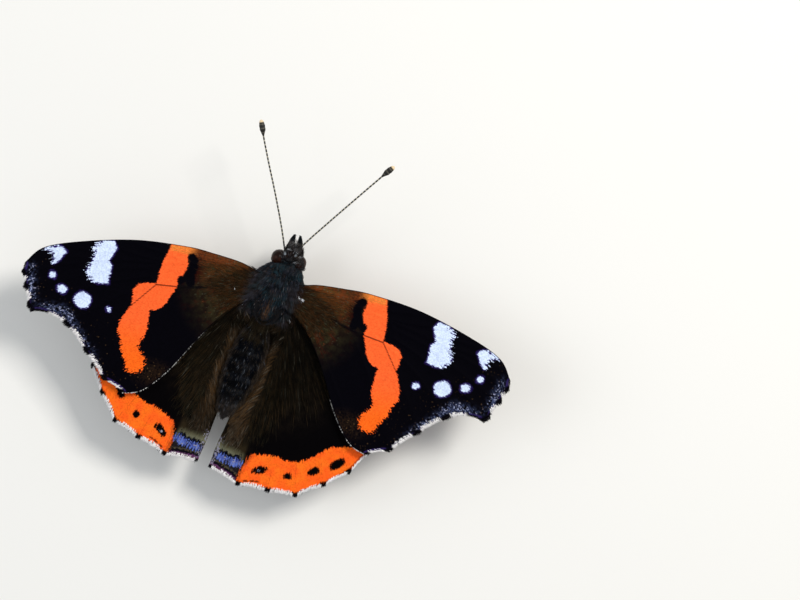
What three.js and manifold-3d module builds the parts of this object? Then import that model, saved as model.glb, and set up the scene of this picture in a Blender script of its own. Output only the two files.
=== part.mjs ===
// Red admiral butterfly at rest with its wings spread, life size.
//
// Millimetres. +X is the butterfly's right, +Y its head end and +Z up. It is modelled with its body
// axis on x = 0 and its feet on z = 0, and the whole is shifted at the end so that the origin lies
// under the middle of its box. The left forewing is drawn back and the right one forward.

import * as THREE from 'three';
import { mergeVertices } from 'three/addons/utils/BufferGeometryUtils.js';
import Module from 'manifold-3d';

const wasm = await Module();
wasm.setup();

// Sizes that everything is worked out from
const gap = 0.3;                 // clear space between two pieces that meet
const steepGap = 0.46;           // growth that leaves the same space where the head and collar taper
const degrees = Math.PI / 180;

const wing = {
  thickness: 0.5,                // membrane, between its two faces
  veinRise: 0.15,                // height of a vein above the membrane, on each face
  veinHalfWidth: 0.32,
  veinStep: 1.6,                 // distance between the points along a vein
  crowding: 0.95,                // veins nearer than this have their points twice as close
  marginStep: 1.35,
  fillStep: 2.5,                 // spacing of the points between the veins
  room: { end: 0.2, crest: 0.42, foot: 0.24, margin: 0.25 },     // least distance to other points
  rootHeight: 7.9,               // height of the spread wings over the body axis
  archSpan: 34,                  // distance from the axis where the arch is level
  archRise: 2.1,
  crownY: -3,                    // the wings fall away before and behind this line
  fall: 0.0022,
  split: 1.16,                   // between the middles of a forewing and the hindwing under it
};

const hinge = new THREE.Vector2(2.07, 2.8);      // forewing root, on the right
const sweep = { right: 9.44 * degrees, left: -9.44 * degrees };

const gutter = { clearance: 0.85, lip: 2.8, fadeFront: [-2.4, -5.2], fadeBack: [-17.2, -23.4] };

// Forewing outline and veins, from its hinge, with x outward and y forward
const forewing = {
  root: [[-0.8, -1.9], [-0.8, 0.3]],
  costa: [[-0.8, 0.3], [1.7, 0.72], [3.8, 1.2], [7.5, 1.5], [11.3, 1.6], [18.6, 0.85], [26.3, -1.2],
    [31, -3.2], [33, -5.9]],
  teeth: [[33, -5.9], [33.2, -7.3], [32.5, -9.2], [31.45, -11.7], [30.7, -12.35], [25.6, -13.1],
    [22.2, -16.1], [18.9, -19.35], [15.65, -20.5]],
  scallops: [0.05, 0.28, 0.3, 0, 0.65, 0.3, 0.25, 0.2],
  hind: [[15.65, -20.5], [13, -19.45], [10, -15.8], [6.65, -9.9], [3.4, -5.4], [0.4, -2.7], [-0.8, -1.9]],
  veins: {
    subcosta: [[-0.2, 0.1], [5, 0.45], [9.5, 0.6], [13.6, 1.15]],
    radius: [[-0.2, -0.5], [5.5, -0.45], [10, -0.6], [14.6, -1.5]],
    radial1: [[9.6, -0.6], [13, -0.25], [19, 0.5]],
    radial2: [[13.6, -1.3], [18.5, -1.05], [23.4, -0.5]],
    radialStem: [[14.6, -1.5], [19, -2.2], [22, -2.9]],
    radial3: [[19, -2.2], [24, -1.95], [28.4, -2.3]],
    radial4: [[22, -2.9], [27, -3.4], [31.9, -4.6]],
    radial5: [[22, -2.9], [28, -4.9], [33, -7.2]],
    media1: [[15.3, -2.4], [21, -3.9], [27.6, -7.1], [32.3, -9.1]],
    media2: [[15.5, -3.6], [20.5, -5.6], [25.6, -8.3], [31.2, -11.6]],
    media3: [[14.4, -4.6], [19, -7.2], [22.2, -9.9], [25.4, -12.9]],
    cubital1: [[14.4, -4.6], [17.1, -8.2], [20, -12.4], [22, -15.9]],
    cubital2: [[9.6, -3.9], [13.4, -9.6], [16.6, -15], [18.7, -19.1]],
    cubitus: [[-0.2, -1.1], [5, -2.6], [9.6, -3.9], [14.4, -4.6]],
    anal: [[-0.2, -1.7], [4.6, -5.6], [9, -11.9], [12.6, -17.2], [15.4, -20.2]],
    cellEnd: [[14.6, -1.5], [15.3, -2.4], [15.5, -3.6], [14.4, -4.6]],
  },
};

// Hindwing outline and veins on the right, from the body's own axes
const hindwing = {
  root: [[1.7, -2.7], [1.7, 0.9]],
  costa: [[1.7, 0.9], [4, 1], [8, 0.2], [12, -2], [16, -5.4], [19.2, -9.2], [20.9, -12.2], [21.3, -14.6]],
  teeth: [[21.3, -14.6], [19.75, -18.35], [17.1, -21.5], [13.9, -24.5], [9.95, -25.4], [5.7, -26.2],
    [0.9, -25.3]],
  scallops: [0.12, 0.12, 0.18, 0.15, 0.18, 0.08],
  hind: [[0.9, -25.3], [0.8, -22], [0.95, -18], [0.9, -12], [1.3, -7.6], [2, -5], [1.7, -2.7]],
  veins: {
    subcosta: [[2.2, 0.2], [7, -0.9], [13, -4.2], [18.2, -8.8], [20.6, -12.2]],
    radius: [[2.3, -0.4], [5.6, -3.2], [8.2, -5.4]],
    radialSector: [[5.6, -3.2], [12, -6.8], [17.5, -11], [21.1, -14.5]],
    media1: [[8.2, -5.4], [14, -11.5], [19.5, -18.1]],
    media2: [[8.4, -6.8], [13.3, -14.5], [16.8, -21.1]],
    media3: [[7.6, -8.8], [11, -16.5], [13.7, -24]],
    cubital1: [[6.9, -9.2], [8.6, -17], [9.85, -24.9]],
    cubital2: [[5.2, -6.6], [5.9, -15], [5.65, -25.7]],
    cubitus: [[2.5, -1], [5.2, -6.6], [6.9, -9.2], [7.6, -8.8]],
    anal2: [[2.6, -2.1], [3.9, -9], [3.3, -18], [1.6, -24.5]],
    anal3: [[2.3, -3.4], [2.5, -8], [2.2, -12.5], [1.2, -16]],
    cellEnd: [[8.2, -5.4], [8.4, -6.8], [7.6, -8.8]],
  },
};

// Body sections, front to back: distance along the axis, half width, top, bottom and middle
const trunk = profile([
  [5.4, 2.2, 7.9, 4.7, 0.4], [4.9, 2.45, 8.2, 4.4, 0.34], [4.2, 3.1, 8.7, 4, 0.22],
  [3.2, 3.62, 9.2, 3.65, 0.1], [1, 3.62, 9.65, 3.4, 0], [-1.2, 3.2, 9.5, 3.5, 0],
  [-2.8, 2.5, 9.05, 4, 0], [-3.9, 1.95, 8.7, 4.7, 0], [-6, 2.15, 8.9, 4.75, 0],
  [-9, 2.42, 9.1, 4.6, 0], [-12, 2.3, 8.95, 4.7, 0], [-15, 1.75, 8.4, 5.2, 0],
  [-17, 0.95, 7.7, 6, 0], [-17.7, 0.4, 7.2, 6.5, 0],
]);
const headShape = profile([
  [0.7, 1.5, 7.9, 5.1], [1.3, 1.72, 8.3, 4.75], [1.9, 1.66, 8.4, 4.65], [2.5, 1.3, 8.1, 4.95],
  [2.9, 0.85, 7.6, 5.5], [3.08, 0.4, 7.1, 6.1],
]);
const neck = { x: 0.53, y: 4.8, yaw: 6 * degrees };
const collarY = [4.78, 4.3];
const thoraxY = [4, -3.75];
const abdomenY = [-4.05, -17.7];

const colours = {
  wing: 0x1f1713, orange: 0xd9521c, fur: 0x3a332f, abdomen: 0x2a2624, eye: 0x6b3a22,
  antenna: 0x1c1a19, club: 0x141211, palp: 0x453a33, leg: 0x7d6a58, tongue: 0x4a3426,
};
const materials = {};
for (const [name, colour] of Object.entries(colours)) {
  const roughness = name === 'eye' ? 0.3 : 0.8;
  materials[name] = new THREE.MeshStandardMaterial({ color: colour, roughness, metalness: 0 });
}

const model = new THREE.Group();

// Helpers for numbers and curves

// Smooth values along the axis from rows of [place, half width, top, bottom, middle if not 0]
function profile(rows) {
  const sorted = [...rows].sort((a, b) => a[0] - b[0]);
  const values = sorted.flatMap((row) => row.slice(1));
  const columns = rows[0].length - 1;
  const curve = new THREE.CubicInterpolant(sorted.map((row) => row[0]), values, columns);
  return (place) => {
    const [half, top, bottom, aside = 0] = curve.evaluate(place);
    return { half, top, bottom, aside };
  };
}

function valueAlong(list, t) {
  const place = t * (list.length - 1);
  const from = Math.min(Math.floor(place), list.length - 2);
  return THREE.MathUtils.lerp(list[from], list[from + 1], place - from);
}

function spline(points) {
  return new THREE.SplineCurve(points.map(([x, y]) => new THREE.Vector2(x, y)));
}

function spacedPoints(points, step) {
  const curve = spline(points);
  return curve.getSpacedPoints(Math.max(1, Math.round(curve.getLength() / step)));
}

function distanceToPath(p, path) {
  let nearest = Infinity;
  for (let i = 0; i + 1 < path.length; i++) {
    const along = path[i + 1].clone().sub(path[i]);
    const t = THREE.MathUtils.clamp(p.clone().sub(path[i]).dot(along) / along.lengthSq(), 0, 1);
    nearest = Math.min(nearest, p.distanceTo(path[i].clone().addScaledVector(along, t)));
  }
  return nearest;
}

function isInside(p, outline) {
  let inside = false;
  for (let i = 0; i < outline.length; i++) {
    const a = outline[i];
    const b = outline[(i + 1) % outline.length];
    const crosses = (a.y > p.y) !== (b.y > p.y);
    if (crosses && p.x < a.x + ((p.y - a.y) * (b.x - a.x)) / (b.y - a.y)) inside = !inside;
  }
  return inside;
}

// Helpers for solids

function geometryOf(positions, triangles) {
  const geometry = new THREE.BufferGeometry();
  geometry.setAttribute('position', new THREE.Float32BufferAttribute(positions, 3));
  geometry.setIndex(triangles);
  return geometry;
}

function solidOf(geometry) {
  const bare = geometry.clone();
  bare.deleteAttribute('normal');
  bare.deleteAttribute('uv');
  const merged = mergeVertices(bare, 1e-5);
  return new wasm.Manifold(new wasm.Mesh({
    numProp: 3,
    vertProperties: new Float32Array(merged.attributes.position.array),
    triVerts: new Uint32Array(merged.index.array),
  }));
}

// Takes the cutters out of a piece and keeps its largest closed surface
function cut(geometry, cutters) {
  let solid = solidOf(geometry);
  for (const cutter of cutters) solid = solid.subtract(solidOf(cutter));
  const pieces = solid.decompose().sort((a, b) => b.volume() - a.volume());
  const mesh = pieces[0].getMesh();
  return geometryOf(Array.from(mesh.vertProperties), Array.from(mesh.triVerts));
}

// A closed skin over rings of equal count, with a fan on each end
function loft(rings) {
  const sides = rings[0].length;
  const positions = rings.flat().flatMap((p) => [p.x, p.y, p.z]);
  const triangles = [];
  for (let i = 0; i + 1 < rings.length; i++) {
    for (let j = 0; j < sides; j++) {
      const a = i * sides + j;
      const b = i * sides + ((j + 1) % sides);
      triangles.push(a, b, b + sides, a, b + sides, a + sides);
    }
  }
  for (const [ring, first, turn] of [[rings[0], 0, 1], [rings.at(-1), (rings.length - 1) * sides, -1]]) {
    const middle = ring.reduce((sum, p) => sum.add(p), new THREE.Vector3()).divideScalar(sides);
    const centre = positions.push(middle.x, middle.y, middle.z) / 3 - 1;
    for (let j = 0; j < sides; j++) {
      const a = first + j;
      const b = first + ((j + 1) % sides);
      triangles.push(centre, turn > 0 ? b : a, turn > 0 ? a : b);
    }
  }
  return geometryOf(positions, triangles);
}

// A rounded length of the body between two places on its axis, grown outward by a margin
function bodyLength(shape, [from, to], { steps, sides, grow = 0, ringDepth = 0, ringCount = 0 }) {
  const rings = [];
  const direction = Math.sign(to - from);
  for (let i = 0; i <= steps; i++) {
    const t = i / steps;
    const inside = THREE.MathUtils.lerp(from, to, t);
    const { half, top, bottom, aside } = shape(inside);
    const fold = 1 - ringDepth * (0.5 + 0.5 * Math.cos(2 * Math.PI * ringCount * t)) * (i > 0 ? 1 : 0);
    const place = inside + grow * direction * (i === 0 ? -1 : i === steps ? 1 : 0);
    const ring = [];
    for (let j = 0; j < sides; j++) {
      const angle = (2 * Math.PI * j) / sides * -direction;
      const wide = Math.sign(Math.cos(angle)) * Math.abs(Math.cos(angle)) ** 0.92;
      const high = Math.sign(Math.sin(angle)) * Math.abs(Math.sin(angle)) ** 0.92;
      const x = aside + (half * fold + grow) * wide;
      const z = (top + bottom) / 2 + (((top - bottom) / 2) * fold + grow) * high;
      ring.push(new THREE.Vector3(x, place, z));
    }
    rings.push(ring);
  }
  return loft(rings);
}

// A tapered limb along a smooth path, grown outward by a margin
function limb(points, radii, { steps = 6, sides = 8, grow = 0 } = {}) {
  const path = points.map((p) => new THREE.Vector3(...p));
  const curve = new THREE.CatmullRomCurve3(path, false, 'centripetal');
  const frames = curve.computeFrenetFrames(steps, false);
  const rings = [];
  for (let i = 0; i <= steps; i++) {
    const t = i / steps;
    const radius = valueAlong(radii, t) + grow;
    const centre = curve.getPointAt(t);
    if (i === 0) centre.addScaledVector(frames.tangents[i], -grow);
    if (i === steps) centre.addScaledVector(frames.tangents[i], grow);
    const ring = [];
    for (let j = 0; j < sides; j++) {
      const angle = (2 * Math.PI * (j + 0.5)) / sides;
      const p = centre.clone().addScaledVector(frames.normals[i], radius * Math.cos(angle));
      ring.push(p.addScaledVector(frames.binormals[i], radius * Math.sin(angle)));
    }
    rings.push(ring);
  }
  return loft(rings);
}

function mirrored(points) {
  return points.map(([x, y, z]) => [-x, y, z]);
}

function ellipsoid(centre, radii, grow = 0) {
  const ball = new THREE.SphereGeometry(1, 14, 10);
  ball.scale(...radii.map((r) => r + grow));
  ball.translate(...centre);
  return ball;
}

function add(name, geometry, material, parent = model) {
  const mesh = new THREE.Mesh(geometry, material);
  mesh.name = name;
  parent.add(mesh);
}

// Wings

function archHeight(x, y) {
  const out = Math.min(Math.abs(x) / wing.archSpan, 1);
  return wing.rootHeight + wing.archRise * (1 - (1 - out) ** 2) - wing.fall * (y - wing.crownY) ** 2;
}

// How far the hindwings dip to pass under the abdomen
function gutterDepth(x, y) {
  const { half, bottom } = trunk(THREE.MathUtils.clamp(y, abdomenY[1], abdomenY[0]));
  const level = archHeight(0, y) - wing.split / 2;
  const depth = Math.max(0, level - (bottom - gutter.clearance));
  const front = THREE.MathUtils.smoothstep(-y, -gutter.fadeFront[0], -gutter.fadeFront[1]);
  const back = 1 - THREE.MathUtils.smoothstep(-y, -gutter.fadeBack[0], -gutter.fadeBack[1]);
  const side = 1 - THREE.MathUtils.smoothstep(Math.abs(x), half * 0.4, half + gutter.lip);
  return depth * front * back * side;
}

function forewingHeight(x, y) {
  return archHeight(x, y) + wing.split / 2;
}

function hindwingHeight(x, y) {
  return archHeight(x, y) - wing.split / 2 - gutterDepth(x, y);
}

// The outline: leading edge, scalloped outer margin with a tooth at each vein, trailing edge
function wingOutline(shape) {
  const outline = spacedPoints(shape.costa, wing.marginStep);
  for (let i = 0; i + 1 < shape.teeth.length; i++) {
    const from = new THREE.Vector2(...shape.teeth[i]);
    const to = new THREE.Vector2(...shape.teeth[i + 1]);
    const along = to.clone().sub(from);
    const inward = new THREE.Vector2(along.y, -along.x).normalize();
    const steps = Math.max(1, Math.round(along.length() / wing.marginStep));
    for (let k = 1; k <= steps; k++) {
      const t = k / steps;
      const depth = shape.scallops[i] * (1 - Math.abs(2 * t - 1) ** 3);
      outline.push(from.clone().addScaledVector(along, t).addScaledVector(inward, depth));
    }
  }
  outline.push(...spacedPoints(shape.hind, wing.marginStep).slice(1));
  const [rootBack, rootFront] = shape.root.map((p) => new THREE.Vector2(...p));
  outline.push(rootBack.lerp(rootFront, 0.5));
  return outline;
}

// Points along each vein, twice as close where another vein runs beside it
function veinCrests(veins) {
  const fine = Object.values(veins).map((vein) => {
    const curve = spline(vein);
    return curve.getSpacedPoints(2 * Math.max(1, Math.round(curve.getLength() / wing.veinStep)));
  });
  return fine.map((crest) => {
    const others = fine.filter((other) => other !== crest);
    const isCrowded = (p) => others.some((other) => distanceToPath(p, other) < wing.crowding);
    return crest.filter((p, i) => i % 2 === 0 || isCrowded(p));
  });
}

// Points of a wing: its margin, a crest and two feet along each vein, and a loose fill between them
function wingPoints(outline, crests) {
  const points = [...outline];
  const closed = [...outline, outline[0]];
  const { room } = wing;
  const addPoint = (p, apart, margin) => {
    const free = points.every((other) => other.distanceTo(p) > apart);
    if (free && isInside(p, outline) && distanceToPath(p, closed) > margin) points.push(p);
  };
  for (const crest of crests) {
    addPoint(crest[0], room.end, room.margin);
    addPoint(crest.at(-1), room.end, room.margin);
  }
  for (const crest of crests) {
    for (const p of crest) addPoint(p, room.crest, room.margin);
  }
  for (const crest of crests) {
    crest.forEach((p, i) => {
      const before = crest[Math.max(0, i - 1)];
      const after = crest[Math.min(crest.length - 1, i + 1)];
      const along = after.clone().sub(before).normalize();
      for (const side of [1, -1]) {
        const across = new THREE.Vector2(-along.y, along.x).multiplyScalar(side * wing.veinHalfWidth);
        addPoint(across.add(p), room.foot, room.margin);
      }
    });
  }
  const box = new THREE.Box2().setFromPoints(outline);
  for (let row = 0, y = box.min.y; y < box.max.y; row++, y += wing.fillStep * 0.87) {
    for (let x = box.min.x + (row % 2) * wing.fillStep * 0.5; x < box.max.x; x += wing.fillStep) {
      addPoint(new THREE.Vector2(x, y), wing.fillStep * 0.45, wing.fillStep * 0.35);
    }
  }
  return points;
}

// Height of the veins over the membrane at a point: a ridge along each, sinking near the margin
function veinHeight(p, crests, closed) {
  const nearest = Math.min(...crests.map((crest) => distanceToPath(p, crest)));
  const ridge = Math.max(0, 1 - nearest / wing.veinHalfWidth);
  return wing.veinRise * ridge * Math.min(1, 0.3 + 0.5 * distanceToPath(p, closed));
}

function circleThrough(places, a, b, c) {
  const [p, q, r] = [places[a], places[b], places[c]];
  const d = 2 * (p.x * (q.y - r.y) + q.x * (r.y - p.y) + r.x * (p.y - q.y));
  const [pp, qq, rr] = [p.lengthSq(), q.lengthSq(), r.lengthSq()];
  const x = (pp * (q.y - r.y) + qq * (r.y - p.y) + rr * (p.y - q.y)) / d;
  const y = (pp * (r.x - q.x) + qq * (p.x - r.x) + rr * (q.x - p.x)) / d;
  const centre = new THREE.Vector2(x, y);
  return { corners: [a, b, c], centre, reach: centre.distanceToSquared(p) };
}

// Delaunay triangles over points in the plane, adding one point at a time
function triangulate(places) {
  const count = places.length;
  const far = 1e4;
  const corners = [[-far, -far], [far, -far], [0, far]].map((p) => new THREE.Vector2(...p));
  const all = [...places, ...corners];
  let triangles = [circleThrough(all, count, count + 1, count + 2)];
  for (let i = 0; i < count; i++) {
    const rim = new Map();
    const kept = [];
    for (const triangle of triangles) {
      if (triangle.centre.distanceToSquared(all[i]) > triangle.reach * (1 + 1e-9)) {
        kept.push(triangle);
        continue;
      }
      const [a, b, c] = triangle.corners;
      for (const [from, to] of [[a, b], [b, c], [c, a]]) {
        if (!rim.delete(`${to},${from}`)) rim.set(`${from},${to}`, [from, to]);
      }
    }
    for (const [from, to] of rim.values()) kept.push(circleThrough(all, from, to, i));
    triangles = kept;
  }
  return triangles.map((triangle) => triangle.corners).filter((ends) => Math.max(...ends) < count);
}

// A membrane of even thickness on the mid surface z = height(x, y), with its veins raised on both faces
function wingSolid(shape, place, height, side) {
  const outline = wingOutline(shape);
  const closed = [...outline, outline[0]];
  const crests = veinCrests(shape.veins);
  const points = wingPoints(outline, crests);
  const faces = triangulate(points).filter(([a, b, c]) => {
    const middle = points[a].clone().add(points[b]).add(points[c]).divideScalar(3);
    return isInside(middle, outline);
  });
  const positions = [];
  const reach = 0.05;
  for (const direction of [1, -1]) {
    for (const point of points) {
      const { x, y } = place(point);
      const slopeX = (height(x + reach, y) - height(x - reach, y)) / (2 * reach);
      const slopeY = (height(x, y + reach) - height(x, y - reach)) / (2 * reach);
      const normal = new THREE.Vector3(-slopeX, -slopeY, 1).normalize();
      const offset = direction * (wing.thickness / 2 + veinHeight(point, crests, closed));
      positions.push(x + normal.x * offset, y + normal.y * offset, height(x, y) + normal.z * offset);
    }
  }
  const count = points.length;
  const triangles = [];
  const rim = new Map();
  for (const [a, b, c] of faces) {
    const [p, q, r] = side > 0 ? [a, b, c] : [a, c, b];
    triangles.push(p, q, r, p + count, r + count, q + count);
    for (const [from, to] of [[p, q], [q, r], [r, p]]) {
      if (!rim.delete(`${to},${from}`)) rim.set(`${from},${to}`, [from, to]);
    }
  }
  for (const [from, to] of rim.values()) {
    triangles.push(from, from + count, to + count, from, to + count, to);
  }
  return geometryOf(positions, triangles);
}

function addWings() {
  const thorax = bodyLength(trunk, thoraxY, { steps: 14, sides: 20, grow: gap });
  const abdomen = bodyLength(trunk, abdomenY, { steps: 28, sides: 16, grow: gap });
  for (const [name, side] of [['right', 1], ['left', -1]]) {
    const placeForewing = (p) => {
      const q = p.clone().rotateAround(new THREE.Vector2(), sweep[name]).add(hinge);
      return new THREE.Vector2(q.x * side, q.y);
    };
    const placeHindwing = (p) => new THREE.Vector2(p.x * side, p.y);
    const fore = wingSolid(forewing, placeForewing, forewingHeight, side);
    const hind = wingSolid(hindwing, placeHindwing, hindwingHeight, side);
    add(`forewing_${name}`, cut(fore, [thorax]), materials.wing);
    add(`hindwing_${name}`, cut(hind, [thorax, abdomen]), materials.orange);
  }
}

// Trunk: a collar behind the head, the thorax that carries wings and legs, and the ringed abdomen
function addTrunk() {
  add('prothorax', bodyLength(trunk, collarY, { steps: 3, sides: 20 }), materials.fur);
  add('thorax', bodyLength(trunk, thoraxY, { steps: 14, sides: 20 }), materials.fur);
  const rings = { steps: 28, sides: 16, ringDepth: 0.05, ringCount: 7 };
  add('abdomen', bodyLength(trunk, abdomenY, rings), materials.abdomen);
}

// Paths of the feelers from the neck; the club starts at the fifth point, and they differ a little
const feelers = {
  right: [
    [0.5, 1.85, 7.5], [1.25, 4.05, 8.5], [4, 8.4, 9.8], [6.8, 12.7, 10.7], [8.9, 15.9, 11.3],
    [9.6, 16.95, 11.45], [10.35, 18, 11.5],
  ],
  left: [
    [-0.55, 1.85, 7.5], [-2.25, 5.24, 8.9], [-4.45, 9.66, 10], [-6.6, 13.69, 10.8], [-8.2, 16.78, 11.3],
    [-8.7, 17.91, 11.45], [-9.2, 18.95, 11.5],
  ],
};

// Head, turned a little on the neck, with its eyes, feelers, palps and coiled tongue
function addHead() {
  const head = new THREE.Group();
  head.position.set(neck.x, neck.y, 0);
  head.rotation.z = neck.yaw;
  model.add(head);

  const skull = (grow) => bodyLength(headShape, [3.08, 0.7], { steps: 9, sides: 20, grow });
  const eyes = [];
  for (const [name, side] of [['right', 1], ['left', -1]]) {
    const eye = [[side * 1.38, 1.42, 6.6], [0.98, 0.98, 1.3]];
    add(`eye_${name}`, ellipsoid(...eye), materials.eye, head);
    eyes.push(ellipsoid(...eye, gap));

    const feeler = feelers[name];
    const shaft = (grow) => limb(feeler.slice(0, 5), [0.27, 0.25, 0.25, 0.26], { steps: 12, sides: 6, grow });
    const club = limb(feeler.slice(4), [0.26, 0.42, 0.47, 0.45, 0.3], { steps: 6 });
    add(`antenna_${name}`, cut(shaft(0), [skull(steepGap)]), materials.antenna, head);
    add(`antenna_club_${name}`, cut(club, [shaft(gap)]), materials.club, head);

    const bend = [[0.6, 2.4, 5.1], [0.68, 3.3, 5.3], [0.58, 4.2, 5.9], [0.42, 5.05, 6.7]];
    const palp = side > 0 ? bend : mirrored(bend);
    add(`palp_${name}`, cut(limb(palp, [0.42, 0.44, 0.36, 0.15]), [skull(steepGap)]), materials.palp, head);
  }
  add('head', cut(skull(0), eyes), materials.fur, head);

  const coil = [];
  const turns = 1.6;
  const steps = 24;
  for (let i = 0; i <= steps; i++) {
    const t = i / steps;
    const angle = Math.PI / 2 - 2 * Math.PI * turns * t;
    const radius = THREE.MathUtils.lerp(1.0, 0.24, t);
    coil.push([0, 1.7 + radius * Math.cos(angle), 3.75 + radius * Math.sin(angle)]);
  }
  const tongue = limb(coil, [0.25, 0.25], { steps: 26, sides: 6 });
  add('proboscis', cut(tongue, [skull(steepGap)]), materials.tongue, head);
}

// Legs: two pairs to walk on, and the small brush-like forelegs held against the chest
function addLegs() {
  const thorax = bodyLength(trunk, thoraxY, { steps: 14, sides: 20, grow: gap });
  const collar = bodyLength(trunk, collarY, { steps: 3, sides: 20, grow: steepGap });
  const sole = 0.24;             // height of the feet's axis, which flattens them on the floor
  const below = new THREE.BoxGeometry(60, 60, 2);
  below.translate(0, 0, -1);
  const radii = { femur: [0.5, 0.5, 0.42, 0.36], tibia: [0.34, 0.34, 0.28], tarsus: [0.27, 0.3, 0.28] };
  const legs = {
    mid: {
      femur: [[1, 1.2, 4.1], [2.8, 1.9, 4.2], [6, 2.5, 5.9]],
      tibia: [[6, 2.5, 5.9], [8.2, 2.3, 3.3], [9.7, 1.9, 0.75]],
      tarsus: [[9.7, 1.9, 0.75], [10.6, 1.8, sole], [12.2, 1.8, sole], [13.8, 2, sole]],
    },
    hind: {
      femur: [[1, -1.5, 4.2], [2.4, -2.6, 4.2], [5.2, -5.4, 5.7]],
      tibia: [[5.2, -5.4, 5.7], [6.8, -8.2, 3.2], [7.9, -10.6, 0.75]],
      tarsus: [[7.9, -10.6, 0.75], [8.4, -11.6, sole], [9, -13.1, sole], [9.6, -14.9, sole]],
    },
  };
  for (const [pair, leg] of Object.entries(legs)) {
    for (const [name, side] of [['right', 1], ['left', -1]]) {
      const points = (list) => (side > 0 ? list : mirrored(list));
      const solid = (part, grow = 0) => limb(points(leg[part]), radii[part], { grow });
      add(`${pair}_femur_${name}`, cut(solid('femur'), [thorax]), materials.leg);
      add(`${pair}_tibia_${name}`, cut(solid('tibia'), [solid('femur', gap)]), materials.leg);
      add(`${pair}_tarsus_${name}`, cut(solid('tarsus'), [solid('tibia', gap), below]), materials.leg);
    }
  }
  for (const [name, side] of [['right', 1], ['left', -1]]) {
    const path = [[1, 3.6, 4.4], [1.35, 4.6, 3.6], [1.3, 5.7, 3.3], [1.1, 6.6, 3.6]];
    const fore = limb(side > 0 ? path : mirrored(path), [0.42, 0.44, 0.4, 0.22]);
    add(`foreleg_${name}`, cut(fore, [thorax, collar]), materials.leg);
  }
}

addTrunk();
addHead();
addWings();
addLegs();

// The origin goes to the floor under the middle of the whole
const box = new THREE.Box3().setFromObject(model);
const middle = box.getCenter(new THREE.Vector3());
model.position.set(-middle.x, -middle.y, -box.min.z);

export default model;
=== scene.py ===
# Red admiral butterfly with its wings spread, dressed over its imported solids.
# Shapes are worked out in millimetres on the body's own axes: x to its right, y to its head, z up.
import math

import bmesh
import bpy
import numpy as np
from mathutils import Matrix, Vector
from mathutils.kdtree import KDTree


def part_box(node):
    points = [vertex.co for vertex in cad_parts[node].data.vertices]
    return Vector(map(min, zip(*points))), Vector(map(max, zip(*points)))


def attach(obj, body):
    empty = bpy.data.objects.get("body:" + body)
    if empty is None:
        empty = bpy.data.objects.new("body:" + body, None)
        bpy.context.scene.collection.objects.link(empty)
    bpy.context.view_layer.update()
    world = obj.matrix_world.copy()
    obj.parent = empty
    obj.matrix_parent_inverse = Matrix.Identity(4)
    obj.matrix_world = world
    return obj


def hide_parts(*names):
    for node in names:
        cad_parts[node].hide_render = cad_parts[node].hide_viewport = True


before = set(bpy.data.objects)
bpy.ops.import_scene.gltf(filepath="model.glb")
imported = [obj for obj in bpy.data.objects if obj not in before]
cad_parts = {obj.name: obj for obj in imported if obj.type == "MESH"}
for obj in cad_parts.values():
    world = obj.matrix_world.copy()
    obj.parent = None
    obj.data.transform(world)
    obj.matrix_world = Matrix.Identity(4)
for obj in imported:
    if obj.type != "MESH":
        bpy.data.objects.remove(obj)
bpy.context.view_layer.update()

mm = 0.001
tailEnd = -17.7                     # y of the abdomen's tip on the body's axes
abdomenLow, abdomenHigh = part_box("abdomen")
bodyOrigin = np.array(((abdomenLow.x + abdomenHigh.x) / 2, abdomenLow.y - tailEnd * mm, 0))
sides = {"right": 1, "left": -1}


def toFrame(places):
    return np.asarray(places, float) * mm + bodyOrigin


def toBody(places):
    return (np.asarray(places, float) - bodyOrigin) / mm


# Numbers along curves

def rampUp(value, low, high):
    t = np.clip((np.asarray(value, float) - low) / (high - low), 0, 1)
    return t * t * (3 - 2 * t)


def unit(vectors):
    return vectors / np.maximum(np.linalg.norm(vectors, axis=-1, keepdims=True), 1e-9)


def evenly(line, count):
    steps = np.linalg.norm(np.diff(line, axis=0), axis=1)
    travelled = np.concatenate(([0], np.cumsum(steps)))
    wanted = np.linspace(0, travelled[-1], count)
    return np.stack([np.interp(wanted, travelled, column) for column in line.T], 1)


def smoothLine(points, count=200):
    p = np.asarray(points, float)
    p = np.vstack((p[0], p, p[-1]))
    t = np.linspace(0, 1, 24, endpoint=False)[:, None]
    pieces = []
    for a, b, c, d in zip(p, p[1:], p[2:], p[3:]):
        bend = (2 * a - 5 * b + 4 * c - d) * t**2 + (3 * b - 3 * c + d - a) * t**3
        pieces.append(b + 0.5 * ((c - a) * t + bend))
    return evenly(np.vstack((*pieces, p[-1:])), count)


def placeOn(line, share):
    steps = np.linspace(0, 1, len(line))
    return np.stack([np.interp(share, steps, column) for column in line.T], -1)


def distanceTo(line, places):
    line = np.asarray(line, float)
    nearest = np.full(len(places), 1e9)
    for a, b in zip(line, line[1:]):
        along = b - a
        t = np.clip((places - a) @ along / max(along @ along, 1e-12), 0, 1)
        nearest = np.minimum(nearest, np.linalg.norm(places - a - t[:, None] * along, axis=1))
    return nearest


def depthIn(outline, places):
    # how deep a place lies inside a closed outline, and below zero outside it
    closed = np.vstack((outline, outline[:1]))
    inside = np.zeros(len(places), bool)
    x, y = places.T
    for (ax, ay), (bx, by) in zip(closed, closed[1:]):
        if ay != by:
            inside ^= ((ay > y) != (by > y)) & (x < ax + (y - ay) * (bx - ax) / (by - ay))
    return distanceTo(closed, places) * np.where(inside, 1, -1)


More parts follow.
